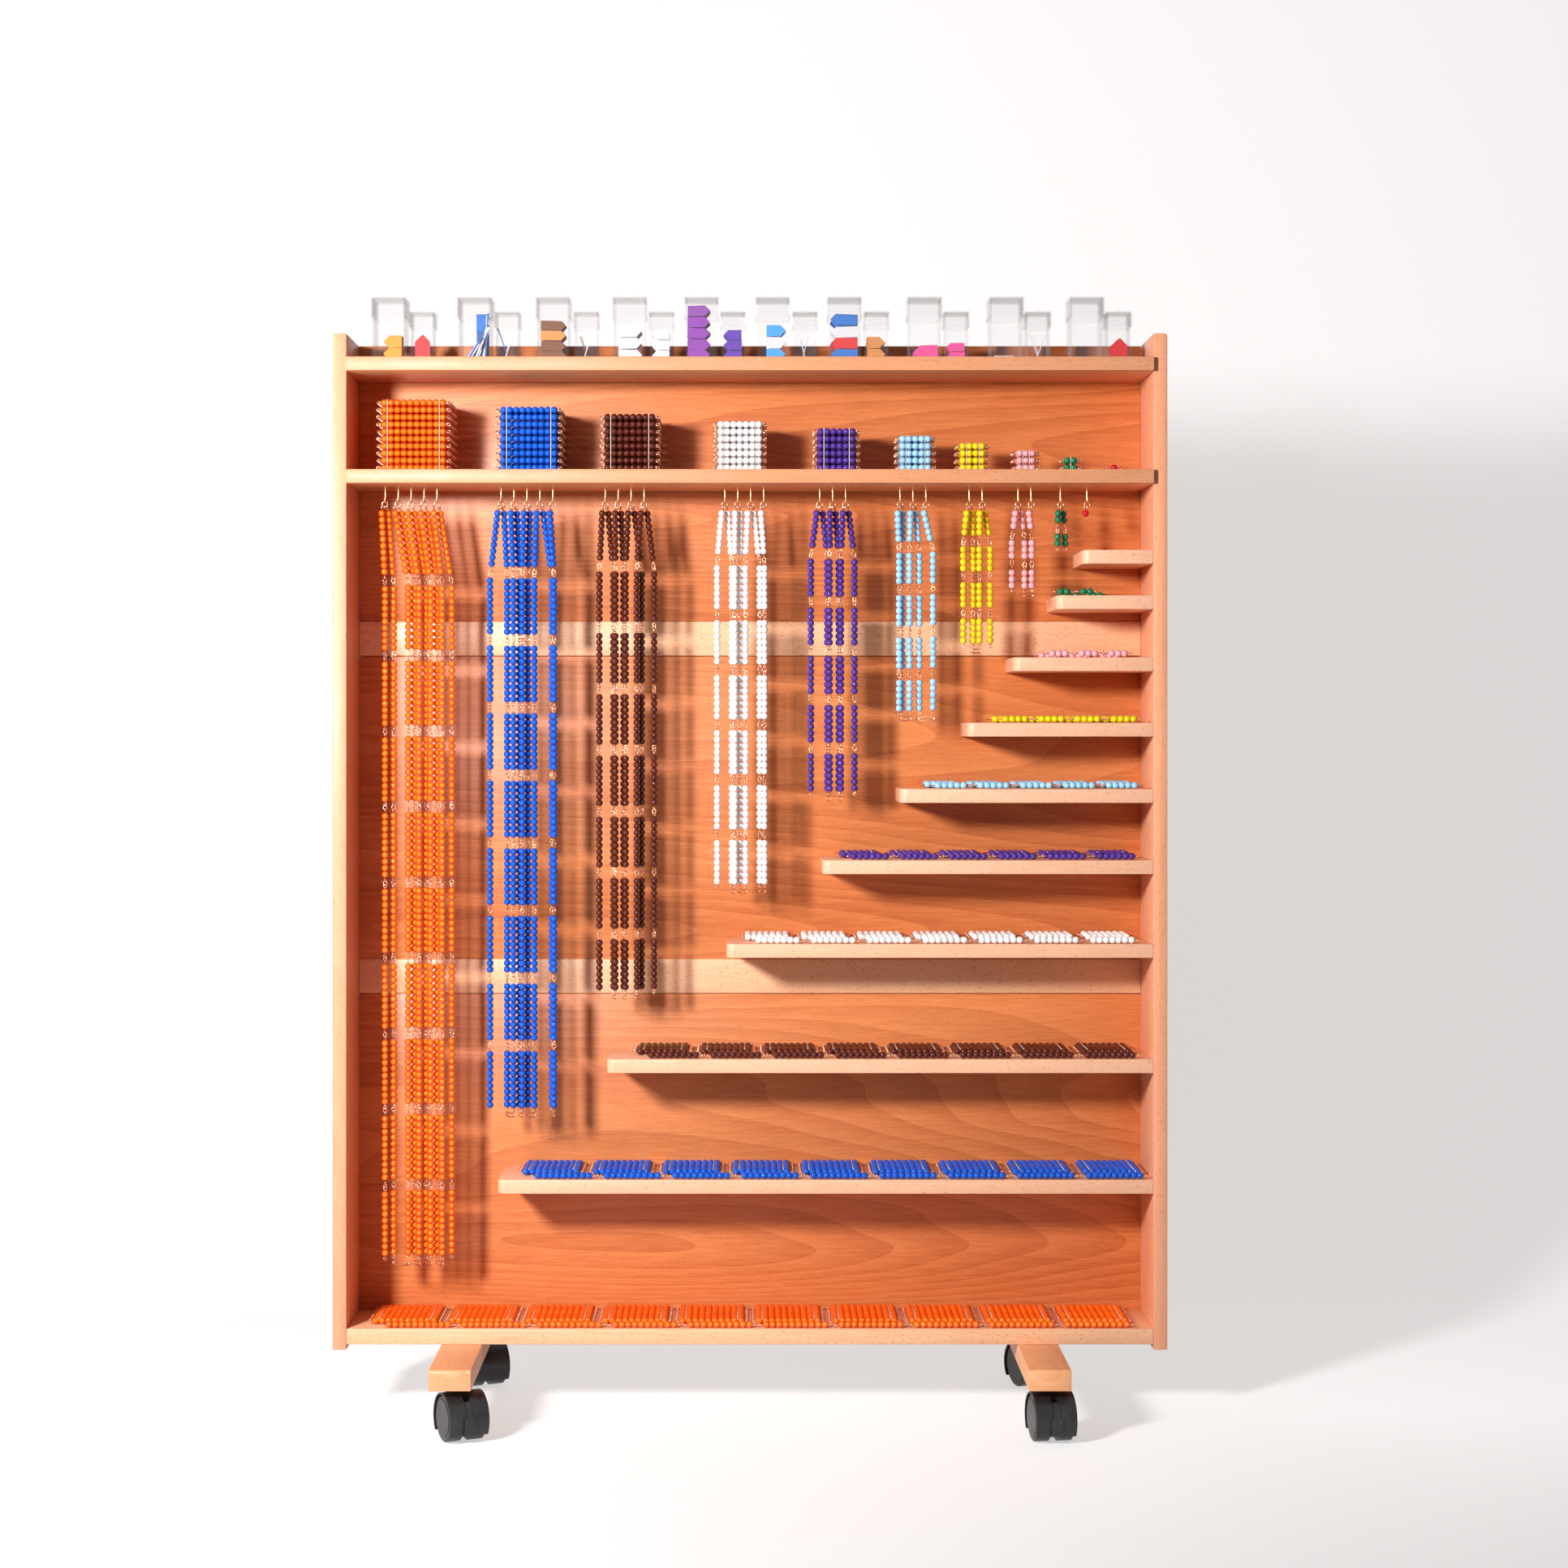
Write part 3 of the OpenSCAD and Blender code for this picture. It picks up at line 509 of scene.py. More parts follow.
boards = {
    "edge": 1.1,
    "edgeSegments": 2,
    "sharpFrom": math.radians(40),
    "smoothBelow": math.radians(35),
    "wood": {
        "left_side": "sideBeech", "right_side": "sideBeech",
        "top_shelf": "topBeech", "cube_shelf": "topBeech", "bottom_shelf": "railBeech",
        "back_upper": "backBeech", "back_middle": "backBeech", "back_lower": "backBeech",
        "rail_upper": "railBeech", "rail_lower": "railBeech",
        "foot_left": "footBeech", "foot_right": "footBeech",
        **{f"step_shelf_{n}": "shelfBeech" for n in range(1, 10)},
    },
    "slots": {"sideBeech": "beech", "backBeech": "beech", "footBeech": "beech",
              "shelfBeech": "pale_beech", "railBeech": "pale_beech", "topBeech": "pale_beech"},
    "stepRound": 9.0,
    "stepSegments": 6,
    "footRound": 4.0,
    "sideRound": 3.5,
    "roundSegments": 4,
    "jointGap": 0.78,
    "tongueIn": 5.0,
    "tongueThick": 4.0,
    "tongueShort": 2.0,
}


def makeBlock(name, centre, size):
    deselectAll()
    bpy.ops.mesh.primitive_cube_add(size=1, location=centre)
    block = bpy.context.object
    block.name = name
    block.scale = size
    applyPlace(block)
    return block


def roundBoard(board, node, low, high):
    # the free corner of a step shelf, the upper edges of a foot and the outer top edge of a side
    if node.startswith("step_shelf"):
        roundEdges(board, lambda a, b: bothAt(a, b, 0, low.x) and bothAt(a, b, 1, low.y),
                   boards["stepRound"] * mm, boards["stepSegments"])
    if node.startswith("foot"):
        roundEdges(board, lambda a, b: bothAt(a, b, 2, high.z) and bothAt(a, b, 1, a.y),
                   boards["footRound"] * mm, boards["roundSegments"])
    if node.endswith("side"):
        outer = low.x if node.startswith("left") else high.x
        roundEdges(board, lambda a, b: bothAt(a, b, 2, high.z) and bothAt(a, b, 0, outer),
                   boards["sideRound"] * mm, boards["roundSegments"])


def makeTongue(low, high):
    # closes the joint line between a back panel and the rail over it
    gap = boards["jointGap"] * mm
    middle = ((low.x + high.x) / 2, low.y + boards["tongueIn"] * mm, high.z + gap / 2)
    size = (high.x - low.x - boards["tongueShort"] * mm, boards["tongueThick"] * mm, gap)
    return makeBlock("tongue", middle, size)


def makeBoard(node, woodName):
    low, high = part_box(node)
    board = makeBlock(node + "_board", (low + high) / 2, high - low)
    roundBoard(board, node, low, high)
    if node in ("back_middle", "back_lower"):
        board = joinPieces([board, makeTongue(low, high)], node + "_board")
    soften = board.modifiers.new("soften", "BEVEL")
    soften.width = boards["edge"] * mm
    soften.segments = boards["edgeSegments"]
    soften.limit_method = "ANGLE"
    soften.angle_limit = boards["sharpFrom"]
    applyModifiers(board)
    bpy.ops.object.shade_smooth_by_angle(angle=boards["smoothBelow"])
    return finishPiece(board, woods[woodName], stands=[node])


for node, woodName in boards["wood"].items():
    makeBoard(node, woodName)
print("boards ready")

# a facet radius a little over the radius gives the faceted bead the width of a round one
beads = {
    "radius": 4.0,
    "facetRadius": 4.12,
    "segments": 8,
    "ringCount": 6,
    "clearPitch": 7.5,
    "plainPitch": 7.3,
    "rowPitch": 8.35,
    "seatGap": 0.3,
    "restTurn": math.radians(22),
    "hangTurn": math.radians(40),
    "seed": 100,
}

# turns are the most that an eye or a ring is turned about its bar
wires = {
    "thick": 0.62,
    "sides": 4,
    "eyeSegments": 8,
    "eyeRadius": 2.1,
    "eyeOut": 2.6,
    "eyeSquash": 0.86,
    "eyeTilts": (8, 78),
    "eyeTurn": 0.8,
    "cubeEyeTurns": (0.9, 1.9),
    "ringSegments": 10,
    "ringRadius": 2.4,
    "ringThick": 0.6,
    "ringTurn": 0.9,
    "tieSides": 6,
    "tieRadius": 0.45,
    "tieEdge": 0.15,
    "tieLift": 2.6,
}


def pitchOf(n):
    return beads["clearPitch"] if n > 9 else beads["plainPitch"]


def barLength(n):
    return (n - 1) * pitchOf(n) + 2 * beads["radius"]


def turnEach(draw, places, least, most):
    # a small turn of each place about its own bar
    return [p @ Matrix.Rotation(draw.uniform(least, most), 4, "X") for p in places]


def makeBead():
    # a low round bead, its ends flattened where the next bead touches
    deselectAll()
    radius = beads["facetRadius"] * mm
    bpy.ops.mesh.primitive_uv_sphere_add(segments=beads["segments"], ring_count=beads["ringCount"],
                                         radius=radius, rotation=(0, math.radians(90), 0))
    bead = bpy.context.object
    applyPlace(bead)
    halfPitch = beads["clearPitch"] / 2 * mm
    for side in (1, -1):
        selectInEdit(bead, "VERT", lambda co: co.x * side > halfPitch)
        bpy.ops.transform.translate(value=(side * (halfPitch - radius), 0, 0))
    bpy.ops.object.mode_set(mode="OBJECT")
    bpy.ops.object.shade_smooth()
    return bead


def makeBar(bead, count, step):
    # count beads along +X, the first one's end at X = 0
    bar = bead.copy()
    bar.data = bead.data.copy()
    bpy.context.collection.objects.link(bar)
    bar.location.x = beads["radius"] * mm
    if count > 1:
        row = bar.modifiers.new("row", "ARRAY")
        row.use_relative_offset = False
        row.use_constant_offset = True
        row.constant_offset_displace = (step * mm, 0, 0)
        row.count = count
        applyModifiers(bar)
    applyPlace(bar)
    return bar


def makeEye():
    # an eye of wire at the end of a bar, from X = 0 outwards, in the XY plane
    deselectAll()
    bpy.ops.mesh.primitive_torus_add(major_segments=wires["eyeSegments"], minor_segments=wires["sides"],
                                     major_radius=wires["eyeRadius"] * mm,
                                     minor_radius=wires["thick"] * mm, location=(wires["eyeOut"] * mm, 0, 0))
    eye = bpy.context.object
    bpy.ops.object.mode_set(mode="EDIT")
    bpy.ops.mesh.select_all(action="SELECT")
    bpy.ops.transform.resize(value=(1.0, wires["eyeSquash"], 1.0))
    bpy.ops.object.mode_set(mode="OBJECT")
    bpy.ops.object.shade_smooth()
    applyPlace(eye)
    return eye


def makeBarWires(eye, count, tilt):
    # the eyes of one bar, at both ends
    end = at(barLength(count), 0, 0)
    around = Matrix.Rotation(math.radians(tilt), 4, "X")
    flip = Matrix.Rotation(math.pi, 4, "Z")
    return placeCopies(eye, "barWires", [flip @ around, end @ around])


def makeLinkRing():
    # the ring between two bars, its axis along Y
    deselectAll()
    bpy.ops.mesh.primitive_torus_add(major_segments=wires["ringSegments"], minor_segments=wires["sides"],
                                     major_radius=wires["ringRadius"] * mm,
                                     minor_radius=wires["ringThick"] * mm, rotation=(math.radians(90), 0, 0))
    ring = bpy.context.object
    applyPlace(ring)
    bpy.ops.object.shade_smooth()
    return ring


def makeTie(length):
    # a thin wire along +Y
    deselectAll()
    bpy.ops.mesh.primitive_cylinder_add(vertices=wires["tieSides"], radius=wires["tieRadius"] * mm,
                                        depth=length * mm, location=(0, length / 2 * mm, 0),
                                        rotation=(math.radians(-90), 0, 0))
    tie = bpy.context.object
    applyPlace(tie)
    selectInEdit(tie, "FACE", lambda centre, normal: abs(normal.y) > 0.9)
    bpy.ops.mesh.bevel(offset=wires["tieEdge"] * mm, segments=1, affect="EDGES")
    bpy.ops.object.mode_set(mode="OBJECT")
    bpy.ops.object.shade_smooth()
    return tie


def tieColumns(n):
    # a tie lies between the first two beads of a bar and another between the last two
    if n < 2:
        return []
    first = beads["radius"] + pitchOf(n) / 2
    return [first] if n == 2 else [first, beads["radius"] + (n - 1.5) * pitchOf(n)]


squares = {
    "x": [415, 372, 339, 283.5, 204, 105, -6, -131, -263, -436],
    "gap": 13.5,
    "panelGap": 8.0,
}


def squareStep(n):
    return n * beads["clearPitch"] + squares["gap"]


def squarePlaces(n):
    # places of the bars of the n squares on shelf n, and each square's corner
    z = stepZ(n) + beads["seatGap"] + beads["radius"]
    y = cabinet["panelY"] - squares["panelGap"] - (n - 1) * beads["rowPitch"]
    corners = [(squares["x"][n - 1] + k * squareStep(n), y, z) for k in range(n)]
    places = [at(cx, cy + j * beads["rowPitch"], cz) for cx, cy, cz in corners for j in range(n)]
    return places, corners


cubes = {
    "x": [420, 370, 318.5, 257, 191, 100, -11.5, -138.5, -255, -388],
    "setBack": 22.0,
}


def cubeCorner(n):
    return (cubes["x"][n - 1] - barLength(n) / 2, cabinet["frontY"] + cubes["setBack"] + beads["radius"],
            cabinet["cubeShelf"] + beads["seatGap"] + beads["radius"])


def cubePlaces(n):
    # places of the bars of the cube, layer by layer, and whether each is on the outside
    x, y, z = cubeCorner(n)
    places, outside = [], []
    for layer in range(n):
        for row in range(n):
            places.append(at(x, y + row * beads["rowPitch"], z + layer * beads["rowPitch"]))
            outside.append(layer in (0, n - 1) or row in (0, n - 1))
    return places, outside


# the short chain of two bars lies further left than its shelf's squares
strings = {
    "frontGap": 5.5,
    "inset": 2.0,
    "pairShift": -22.0,
}


def stringPlaces(n):
    # the straight chain of n bars along the front edge of shelf n, and the step from bar to bar
    z = stepZ(n) + beads["seatGap"] + beads["radius"]
    x = squares["x"][n - 1] + (n - 1) * strings["inset"] + (strings["pairShift"] if n == 2 else 0)
    step = squareStep(n) - strings["inset"]
    return [at(x + k * step, cabinet["frontY"] + strings["frontGap"], z) for k in range(n)], step


# strandX is how far each strand hangs to the right of its chain's first hook
chains = {
    "x": [390.3, 359.6, 310.6, 254, 173.9, 80.8, -29.1, -167.5, -288.2, -422.4],
    "y": cabinet["frontY"] + 36.6,
    "startZ": cabinet["hangZ"] - 27.8,
    "hookPitch": 15.0,
    "linkGap": 12.5,
    "stagger": 4.3,
    "fanGap": 3.2,
    "hookRingLift": 6.9,
    "hookRingScale": 1.4,
    "smallRingLift": 3.2,
    "smallRingIn": 1.4,
    "smallRingBack": 1.9,
    "smallRingTurn": 50,
    "endWire": 6.6,
    "footLinkDrop": 2.4,
    "footLinkEnd": 2.1,
    "strandX": [
        [1.0],
        [-3.9, 5.6],
        [-7.6, 7.8, 15.3],
        [-7.2, 4.6, 11.4, 24.4],
        [-1.3, 2.2, 10.7, 22.4, 37.9],
        [-10.4, 8.9, 11.3, 22.1, 24.4, 40.4],
        [-8.7, 8.4, 11.3, 17.2, 24.2, 40.7, 46.0],
        [-6.5, 9.2, 12.0, 21.0, 23.8, 42.1, 36.9, 56.5],
        [-12.1, 6.9, 14.9, 21.4, 25.2, 30.8, 39.1, 59.0, 61.8],
        [0.7, 9.6, 27.5, 34.0, 40.1, 47.1, 53.4, 59.8, 66.8, 77.0],
    ],
}


def chainRow(n):
    return n * pitchOf(n) + chains["linkGap"]


def sideOf(j):
    # even strands hang on the front side of their hook and odd ones on its back side
    return -1 if j % 2 == 0 else 1


def hookX(n, j):
    return chains["x"][n - 1] + (j // 2) * chains["hookPitch"]


def strandX(n, j):
    return chains["x"][n - 1] + chains["strandX"][n - 1][j]


def strandEnds(n, j):
    # where strand j's slanted first bar starts and where its straight part starts
    y = chains["y"] + sideOf(j) * chains["stagger"]
    top = Vector((hookX(n, j) + sideOf(j) * chains["fanGap"], y, chains["startZ"]))
    sideways = strandX(n, j) - top.x
    drop = math.sqrt(chainRow(n) ** 2 - sideways ** 2)
    return top, Vector((strandX(n, j), y, chains["startZ"] - drop))


def strandPlaces(n):
    # places of the hanging bars: X of a bar points down
    places = []
    down = Matrix.Rotation(math.radians(90), 4, "Y")
    for j in range(n):
        top, foot = strandEnds(n, j)
        slant = (foot - top).to_track_quat("X", "Z").to_matrix().to_4x4()
        places.append(Matrix.Translation(top * mm) @ slant)
        for k in range(n - 1):
            places.append(at(foot.x, foot.y, foot.z - k * chainRow(n)) @ down)
    return places


def topRings(n):
    # the ring on each hook and the small rings from it down to the bars
    onHooks, small = [], []
    for j in range(n):
        side = sideOf(j)
        if side < 0:
            onHooks.append(at(hookX(n, j), chains["y"], chains["startZ"] + chains["hookRingLift"]))
        top = strandEnds(n, j)[0]
        turn = Matrix.Rotation(math.radians(side * chains["smallRingTurn"]), 4, "Z")
        small.append(at(top.x - side * chains["smallRingIn"], top.y - side * chains["smallRingBack"],
                        chains["startZ"] + chains["smallRingLift"]) @ turn)
    return onHooks, small


def footLinks(n):
    # the long links that join the feet of two strands
    links = []
    low = strandEnds(n, 0)[1].z - (n - 1) * chainRow(n) + chains["linkGap"] - chains["endWire"]
    for j in range(1, n - 1, 2):
        across = Vector((strandX(n, j) - strandX(n, j + 1), 2 * chains["stagger"]))
        turn = Matrix.Rotation(math.atan2(across.y, across.x), 4, "Z")
        middle = (strandX(n, j) + strandX(n, j + 1)) / 2
        half = across.length / 2 + chains["footLinkEnd"]
        stretch = Matrix.Scale(half / wires["ringRadius"], 4, Vector((1, 0, 0)))
        links.append(at(middle, chains["y"], low - chains["footLinkDrop"]) @ turn @ stretch)
    return links


def makeCube(n, bar, draw):
    # whole bars outside and only the end beads of the bars within
    places, outside = cubePlaces(n)
    turned = turnEach(draw, places, -beads["restTurn"], beads["restTurn"])
    parts = [placeCopies(bar, "cubeBars", [p for p, out in zip(turned, outside) if out])]
    within = [p for p, out in zip(turned, outside) if not out]
    if within:
        ends = makeBar(bead, 2, (n - 1) * pitchOf(n))
        parts.append(placeCopies(ends, "cubeEnds", within))
        dropMaster(ends)
    return joinPieces(parts, f"cube_{n}"), places


def makeTies(n, corners):
    # over each square, over the cube's top and up its front
    x, y, z = cubeCorner(n)
    radius, lift = beads["radius"], wires["tieLift"]
    across = (n - 1) * beads["rowPitch"]
    stand = Matrix.Rotation(math.radians(90), 4, "X")
    ties = []
    for column in tieColumns(n):
        tie = makeTie(across + 2 * radius)
        spots = [at(cx + column, cy - radius, cz + lift) for cx, cy, cz in corners]
        spots.append(at(x + column, y - radius, z + across + lift))
        spots.append(at(x + column, y - lift, z - radius) @ stand)
        ties.append(placeCopies(tie, "ties", spots))
        dropMaster(tie)
    return joinPieces(ties, f"ties_{n}")


def makeChainLoops(n, hanging, barWires, draw):
    # eyes, joining rings, hook rings and foot links of the hanging chain
    turned = turnEach(draw, hanging, -wires["eyeTurn"], wires["eyeTurn"])
    loops = [placeCopies(barWires[k], "loops", turned[k::2]) for k in (0, 1) if turned[k::2]]
    below = at((barLength(n) + chainRow(n)) / 2, 0, 0)
    joints = [p @ below for i, p in enumerate(hanging) if (i % n) < n - 1]
    rings = turnEach(draw, joints, -wires["ringTurn"], wires["ringTurn"])
    onHooks, small = topRings(n)
    rings += small + footLinks(n)
    rings += [p @ Matrix.Scale(chains["hookRingScale"], 4) for p in onHooks]
    loops.append(placeCopies(linkRing, "rings", rings))
    return joinPieces(loops, f"chain_{n}_loops")


def makeSet(n):
    name = beadNames[n - 1]
    gloss, slotName = beadGloss[name], "beads_" + name
    draw = random.Random(beads["seed"] + n)
    rest, hang = beads["restTurn"], beads["hangTurn"]
    bar = makeBar(bead, n, pitchOf(n))
    barWires = [makeBarWires(eye, n, tilt) for tilt in wires["eyeTilts"]]

    lying, corners = squarePlaces(n)
    squarePiece = placeCopies(bar, f"squares_{n}", turnEach(draw, lying, -rest, rest))
    finishPiece(squarePiece, gloss, stands=[f"bead_set_{n}"])
    lyingWires = [placeCopies(barWires[0], "wires", lying)]

    cube, cubeBars = makeCube(n, bar, draw)
    finishPiece(cube, gloss)
    lyingWires.append(placeCopies(barWires[0], "wires", turnEach(draw, cubeBars, *wires["cubeEyeTurns"])))

    if n > 1:
        string, step = stringPlaces(n)
        finishPiece(placeCopies(bar, f"string_{n}", turnEach(draw, string, -rest, rest)), gloss)
        lyingWires.append(placeCopies(barWires[0], "wires", string))
        between = at((barLength(n) + step) / 2, 0, 0) @ Matrix.Rotation(math.radians(90), 4, "Z")
        lyingWires.append(placeCopies(linkRing, "wires", [p @ between for p in string[:-1]]))
        finishPiece(makeTies(n, corners), tieString)
    finishPiece(joinPieces(lyingWires, f"wires_{n}"), copper)

    hanging = strandPlaces(n)
    strand = placeCopies(bar, f"chain_{n}_beads", turnEach(draw, hanging, -hang, hang))
    finishPiece(strand, gloss, stands=[f"chain_{n}"])
    finishPiece(makeChainLoops(n, hanging, barWires, draw), copper)
    for master in (bar, *barWires):
        dropMaster(master)
    print("set", n, "ready")


bead = makeBead()
eye = makeEye()
linkRing = makeLinkRing()
for n in range(1, 11):
    makeSet(n)
for master in (bead, eye, linkRing):
    dropMaster(master)

paperColours = {
    "orange": (0.9, 0.32, 0.02), "red": (0.72, 0.03, 0.03), "navy": (0.03, 0.12, 0.38),
    "pale": (0.7, 0.72, 0.78), "brown": (0.2, 0.07, 0.03), "white": (0.78, 0.77, 0.82),
    "violet": (0.28, 0.05, 0.42), "sky": (0.06, 0.38, 0.8), "blue": (0.02, 0.18, 0.6),
    "pink": (0.85, 0.08, 0.32), "tan": (0.68, 0.28, 0.07), "indigo": (0.12, 0.04, 0.42),
    "crimson": (0.72, 0.01, 0.02),
}

# set, large box, distance from the left wall, width, height, depth, kind and the colours of the cards:
# arrows point right or left or stand up, a fan leans on the right wall, and strips are a few narrow ones
ticketPacks = [
    (1, True, 10, 22, 30, 30, "left", ["orange"] * 3),
    (2, True, 0, 32, 58, 26, "fan", ["blue", "navy", "pale"]),
    (3, True, 2, 30, 47, 30, "right", ["brown", "tan", "brown", "brown"]),
    (4, True, 3, 28, 40, 26, "right", ["white", "white", "pale"]),
    (5, True, 0, 27, 64, 30, "right", ["violet"] * 5),
    (6, True, 9, 23, 42, 24, "right", ["sky", "white", "sky"]),
    (7, True, 0, 32, 54, 30, "left", ["blue", "white", "red", "blue"]),
    (8, True, 3, 29, 19, 30, "left", ["pink"]),
    (9, True, 2, 26, 6, 20, "right", ["white"]),
    (1, False, 3, 18, 30, 8, "up", ["red"]),
    (2, False, 0, 22, 42, 6, "strips", ["pale", "navy"]),
    (3, False, 0, 22, 34, 6, "strips", ["pale", "brown"]),
    (4, False, 0, 21, 36, 20, "left", ["white"] * 3),
    (5, False, 0, 22, 36, 26, "left", ["indigo"] * 3),
    (6, False, 0, 20, 30, 6, "strips", ["pale"]),
    (7, False, 0, 22, 28, 26, "right", ["tan"] * 2),
    (8, False, 0, 22, 21, 22, "left", ["pink"] * 2),
    (9, False, 2, 18, 34, 4, "strips", ["white"]),
    (10, False, 2, 20, 26, 8, "up", ["crimson"]),
]
paper = {
    "largeLeft": [-439.5, -339.8, -248.8, -159.9, -76.4, 6.3, 89.7, 182.7, 277.5, 370.8],
    "pairGap": [3.4, 2.6, 3.3, 1.6, 1.1, 2.1, 1.6, 1.2, 1.3, 1.3],
    "largeWidth": 40.5,
    "wall": 3.7,
    "baseZ": cabinet["topShelf"] + 2.0,
    "frontY": cabinet["panelY"] - 63.3,
    "card": 0.5,
    "tipShare": 0.45,
    "tipEnd": 0.06,
    "seed": 500,
}
cards = {}


def makeCard(colour, width, height, pointed=False):
    # a thin card from x = 0, its middle at z = 0, with a point on the right where it has one
    tip = min(height * paper["tipShare"], width / 3) if pointed else 0
    middle = ((width - tip) / 2 * mm, paper["card"] / 2 * mm, 0)
    card = makeBlock("card", middle, Vector((width - tip, paper["card"], height)) * mm)
    if pointed:
        edge = (width - tip - 0.01) * mm
        selectInEdit(card, "FACE", lambda centre, normal: centre.x > edge)
        bpy.ops.mesh.extrude_region_move(TRANSFORM_OT_translate={"value": (tip * mm, 0, 0)})
        bpy.ops.transform.resize(value=(1, 1, paper["tipEnd"]))
        bpy.ops.object.mode_set(mode="OBJECT")
    cards.setdefault(colour, []).append(card)
    return card


def lean(draw, degrees, sway):
    # how a card is turned up from lying along X, give or take the sway
    return Matrix.Rotation(math.radians(degrees + draw.uniform(-sway, sway)), 4, "Y")


# a row takes this height of the pack and a layer this depth, at the least two layers
arrows = {
    "row": 13,
    "rowFill": 0.94,
    "layer": 5,
    "slack": 0.7,
    "tilt": 2.2,
    "sideways": 0.6,
    "backwards": 1.5,
}


def addArrows(draw, x, y, z, width, height, depth, colours, mirrored):
    rows = max(1, round(height / arrows["row"]))
    rise = height / rows
    layers = max(2, int(depth / arrows["layer"]))
    length = width - 2 * arrows["slack"]
    for k in range(rows):
        for layer in range(layers):
            card = makeCard(colours[(rows - 1 - k) % len(colours)], length, rise * arrows["rowFill"], True)
            turn = lean(draw, 0, arrows["tilt"])
            left = x + arrows["slack"] + draw.uniform(-arrows["sideways"], arrows["sideways"])
            front = y + layer * depth / layers + draw.uniform(0, arrows["backwards"])
            place = at(left, front, z + (k + 0.5) * rise)
            if mirrored:
                place = place @ at(length, 0, 0) @ Matrix.Scale(-1, 4, Vector((1, 0, 0)))
            card.data.transform(place @ turn)
            if mirrored:
                card.data.flip_normals()


upright = {
    "cards": 3,
    "shorter": 1.5,
    "widthShare": 0.96,
    "sway": 3,
}


def addUpright(draw, x, y, z, width, height, depth, colours):
    for k in range(upright["cards"]):
        card = makeCard(colours[0], height - k * upright["shorter"], width * upright["widthShare"], True)
        place = at(x + width / 2, y + k * depth / upright["cards"], z)
        card.data.transform(place @ lean(draw, -90, upright["sway"]))


# broad cards have a colour, height, depth and lift; heights, feet and angles are what the first strip has
# and what the last one has more; all but the strips' width, lift, angles and sway are shares of the pack
fan = {
    "broad": (("navy", 0.9, 0.8, 0.46), ("blue", 0.35, 0.7, 0.8)),
    "broadWidth": 0.46,
    "broadLeft": 0.53,
    "strips": 16,
    "stripWidth": 2.0,
    "stripLift": 1.0,
    "heights": (0.45, 0.5),
    "feet": (0.08, 0.8),
    "depths": (0.05, 0.6),
    "angles": (50, 38),
    "sway": 3,
}


def addFan(draw, x, y, z, width, height, depth, colours):
    # two broad cards at the back, and before them narrow ones that lean more and more steeply
    for colour, tall, back, lift in fan["broad"]:
        card = makeCard(colour, width * fan["broadWidth"], height * tall)
        card.data.transform(at(x + width * fan["broadLeft"], y + depth * back, z + height * lift))
    for k in range(fan["strips"]):
        share = k / (fan["strips"] - 1)
        spans = (fan["heights"], fan["feet"], fan["angles"])
        tall, foot, angle = [start + more * share for start, more in spans]
        strip = makeCard(colours[1] if k % 3 == 0 else colours[2], height * tall, fan["stripWidth"])
        turn = lean(draw, -angle, fan["sway"])
        front = y + depth * draw.uniform(*fan["depths"])
        strip.data.transform(at(x + width * foot, front, z + fan["stripLift"]) @ turn)


strips = {
    "count": 4,
    "width": 0.8,
    "heights": (0.75, 1.0),
    "angles": (10, 24),
    "apart": 0.12,
    "behind": 1.3,
    "lift": 0.5,
}


def addStrips(draw, x, y, z, width, height, colours):
    # narrow cards that lean to the left and right in turn
    for k in range(strips["count"]):
        tall = height * draw.uniform(*strips["heights"])
        strip = makeCard(colours[k % len(colours)], tall, strips["width"])
        side = -1 if k % 2 else 1
        turn = Matrix.Rotation(math.radians(-90 + side * draw.uniform(*strips["angles"])), 4, "Y")
        foot = x + width / 2 - side * width * strips["apart"]
        strip.data.transform(at(foot, y + k * strips["behind"], z + strips["lift"]) @ turn)


def makePack(pack):
    number, large, left, width, height, depth, kind, colours = pack
    draw = random.Random(paper["seed"] + number * 2 + large)
    x = paper["largeLeft"][number - 1] + paper["wall"] + left
    if not large:
        x += paper["largeWidth"] + paper["pairGap"][number - 1]
    y, z = paper["frontY"], paper["baseZ"]
    if kind == "up":
        addUpright(draw, x, y, z, width, height, depth, colours)
    elif kind == "fan":
        addFan(draw, x, y, z, width, height, depth, colours)
    elif kind == "strips":
        addStrips(draw, x, y, z, width, height, colours)
    else:
        addArrows(draw, x, y, z, width, height, depth, colours, kind == "left")


for pack in ticketPacks:
    makePack(pack)
for i, (colour, pieces) in enumerate(sorted(cards.items())):
    piece = joinPieces(pieces, "tickets_" + colour)
    material = makePaper("paper_" + colour, paperColours[colour])
    finishPiece(piece, material, stands=["tickets"] if i == 0 else ())
print("tickets ready")

# the nodes that stay as the CAD has them
kept = {
    "hooks": brassMetal, "caster_stems": steelMetal,
    "large_boxes": clearPlastic, "large_lids": clearPlastic,
    "small_boxes": clearPlastic, "small_lids": clearPlastic,
}
for place in ("front_left", "front_right", "back_left", "back_right"):
    kept["hood_" + place] = blackPlastic
    kept["wheels_" + place] = blackPlastic
    if place.startswith("front"):
        kept["brake_" + place] = blackPlastic
for node, material in kept.items():
    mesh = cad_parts[node].data
    mesh.materials.clear()
    mesh.materials.append(material)

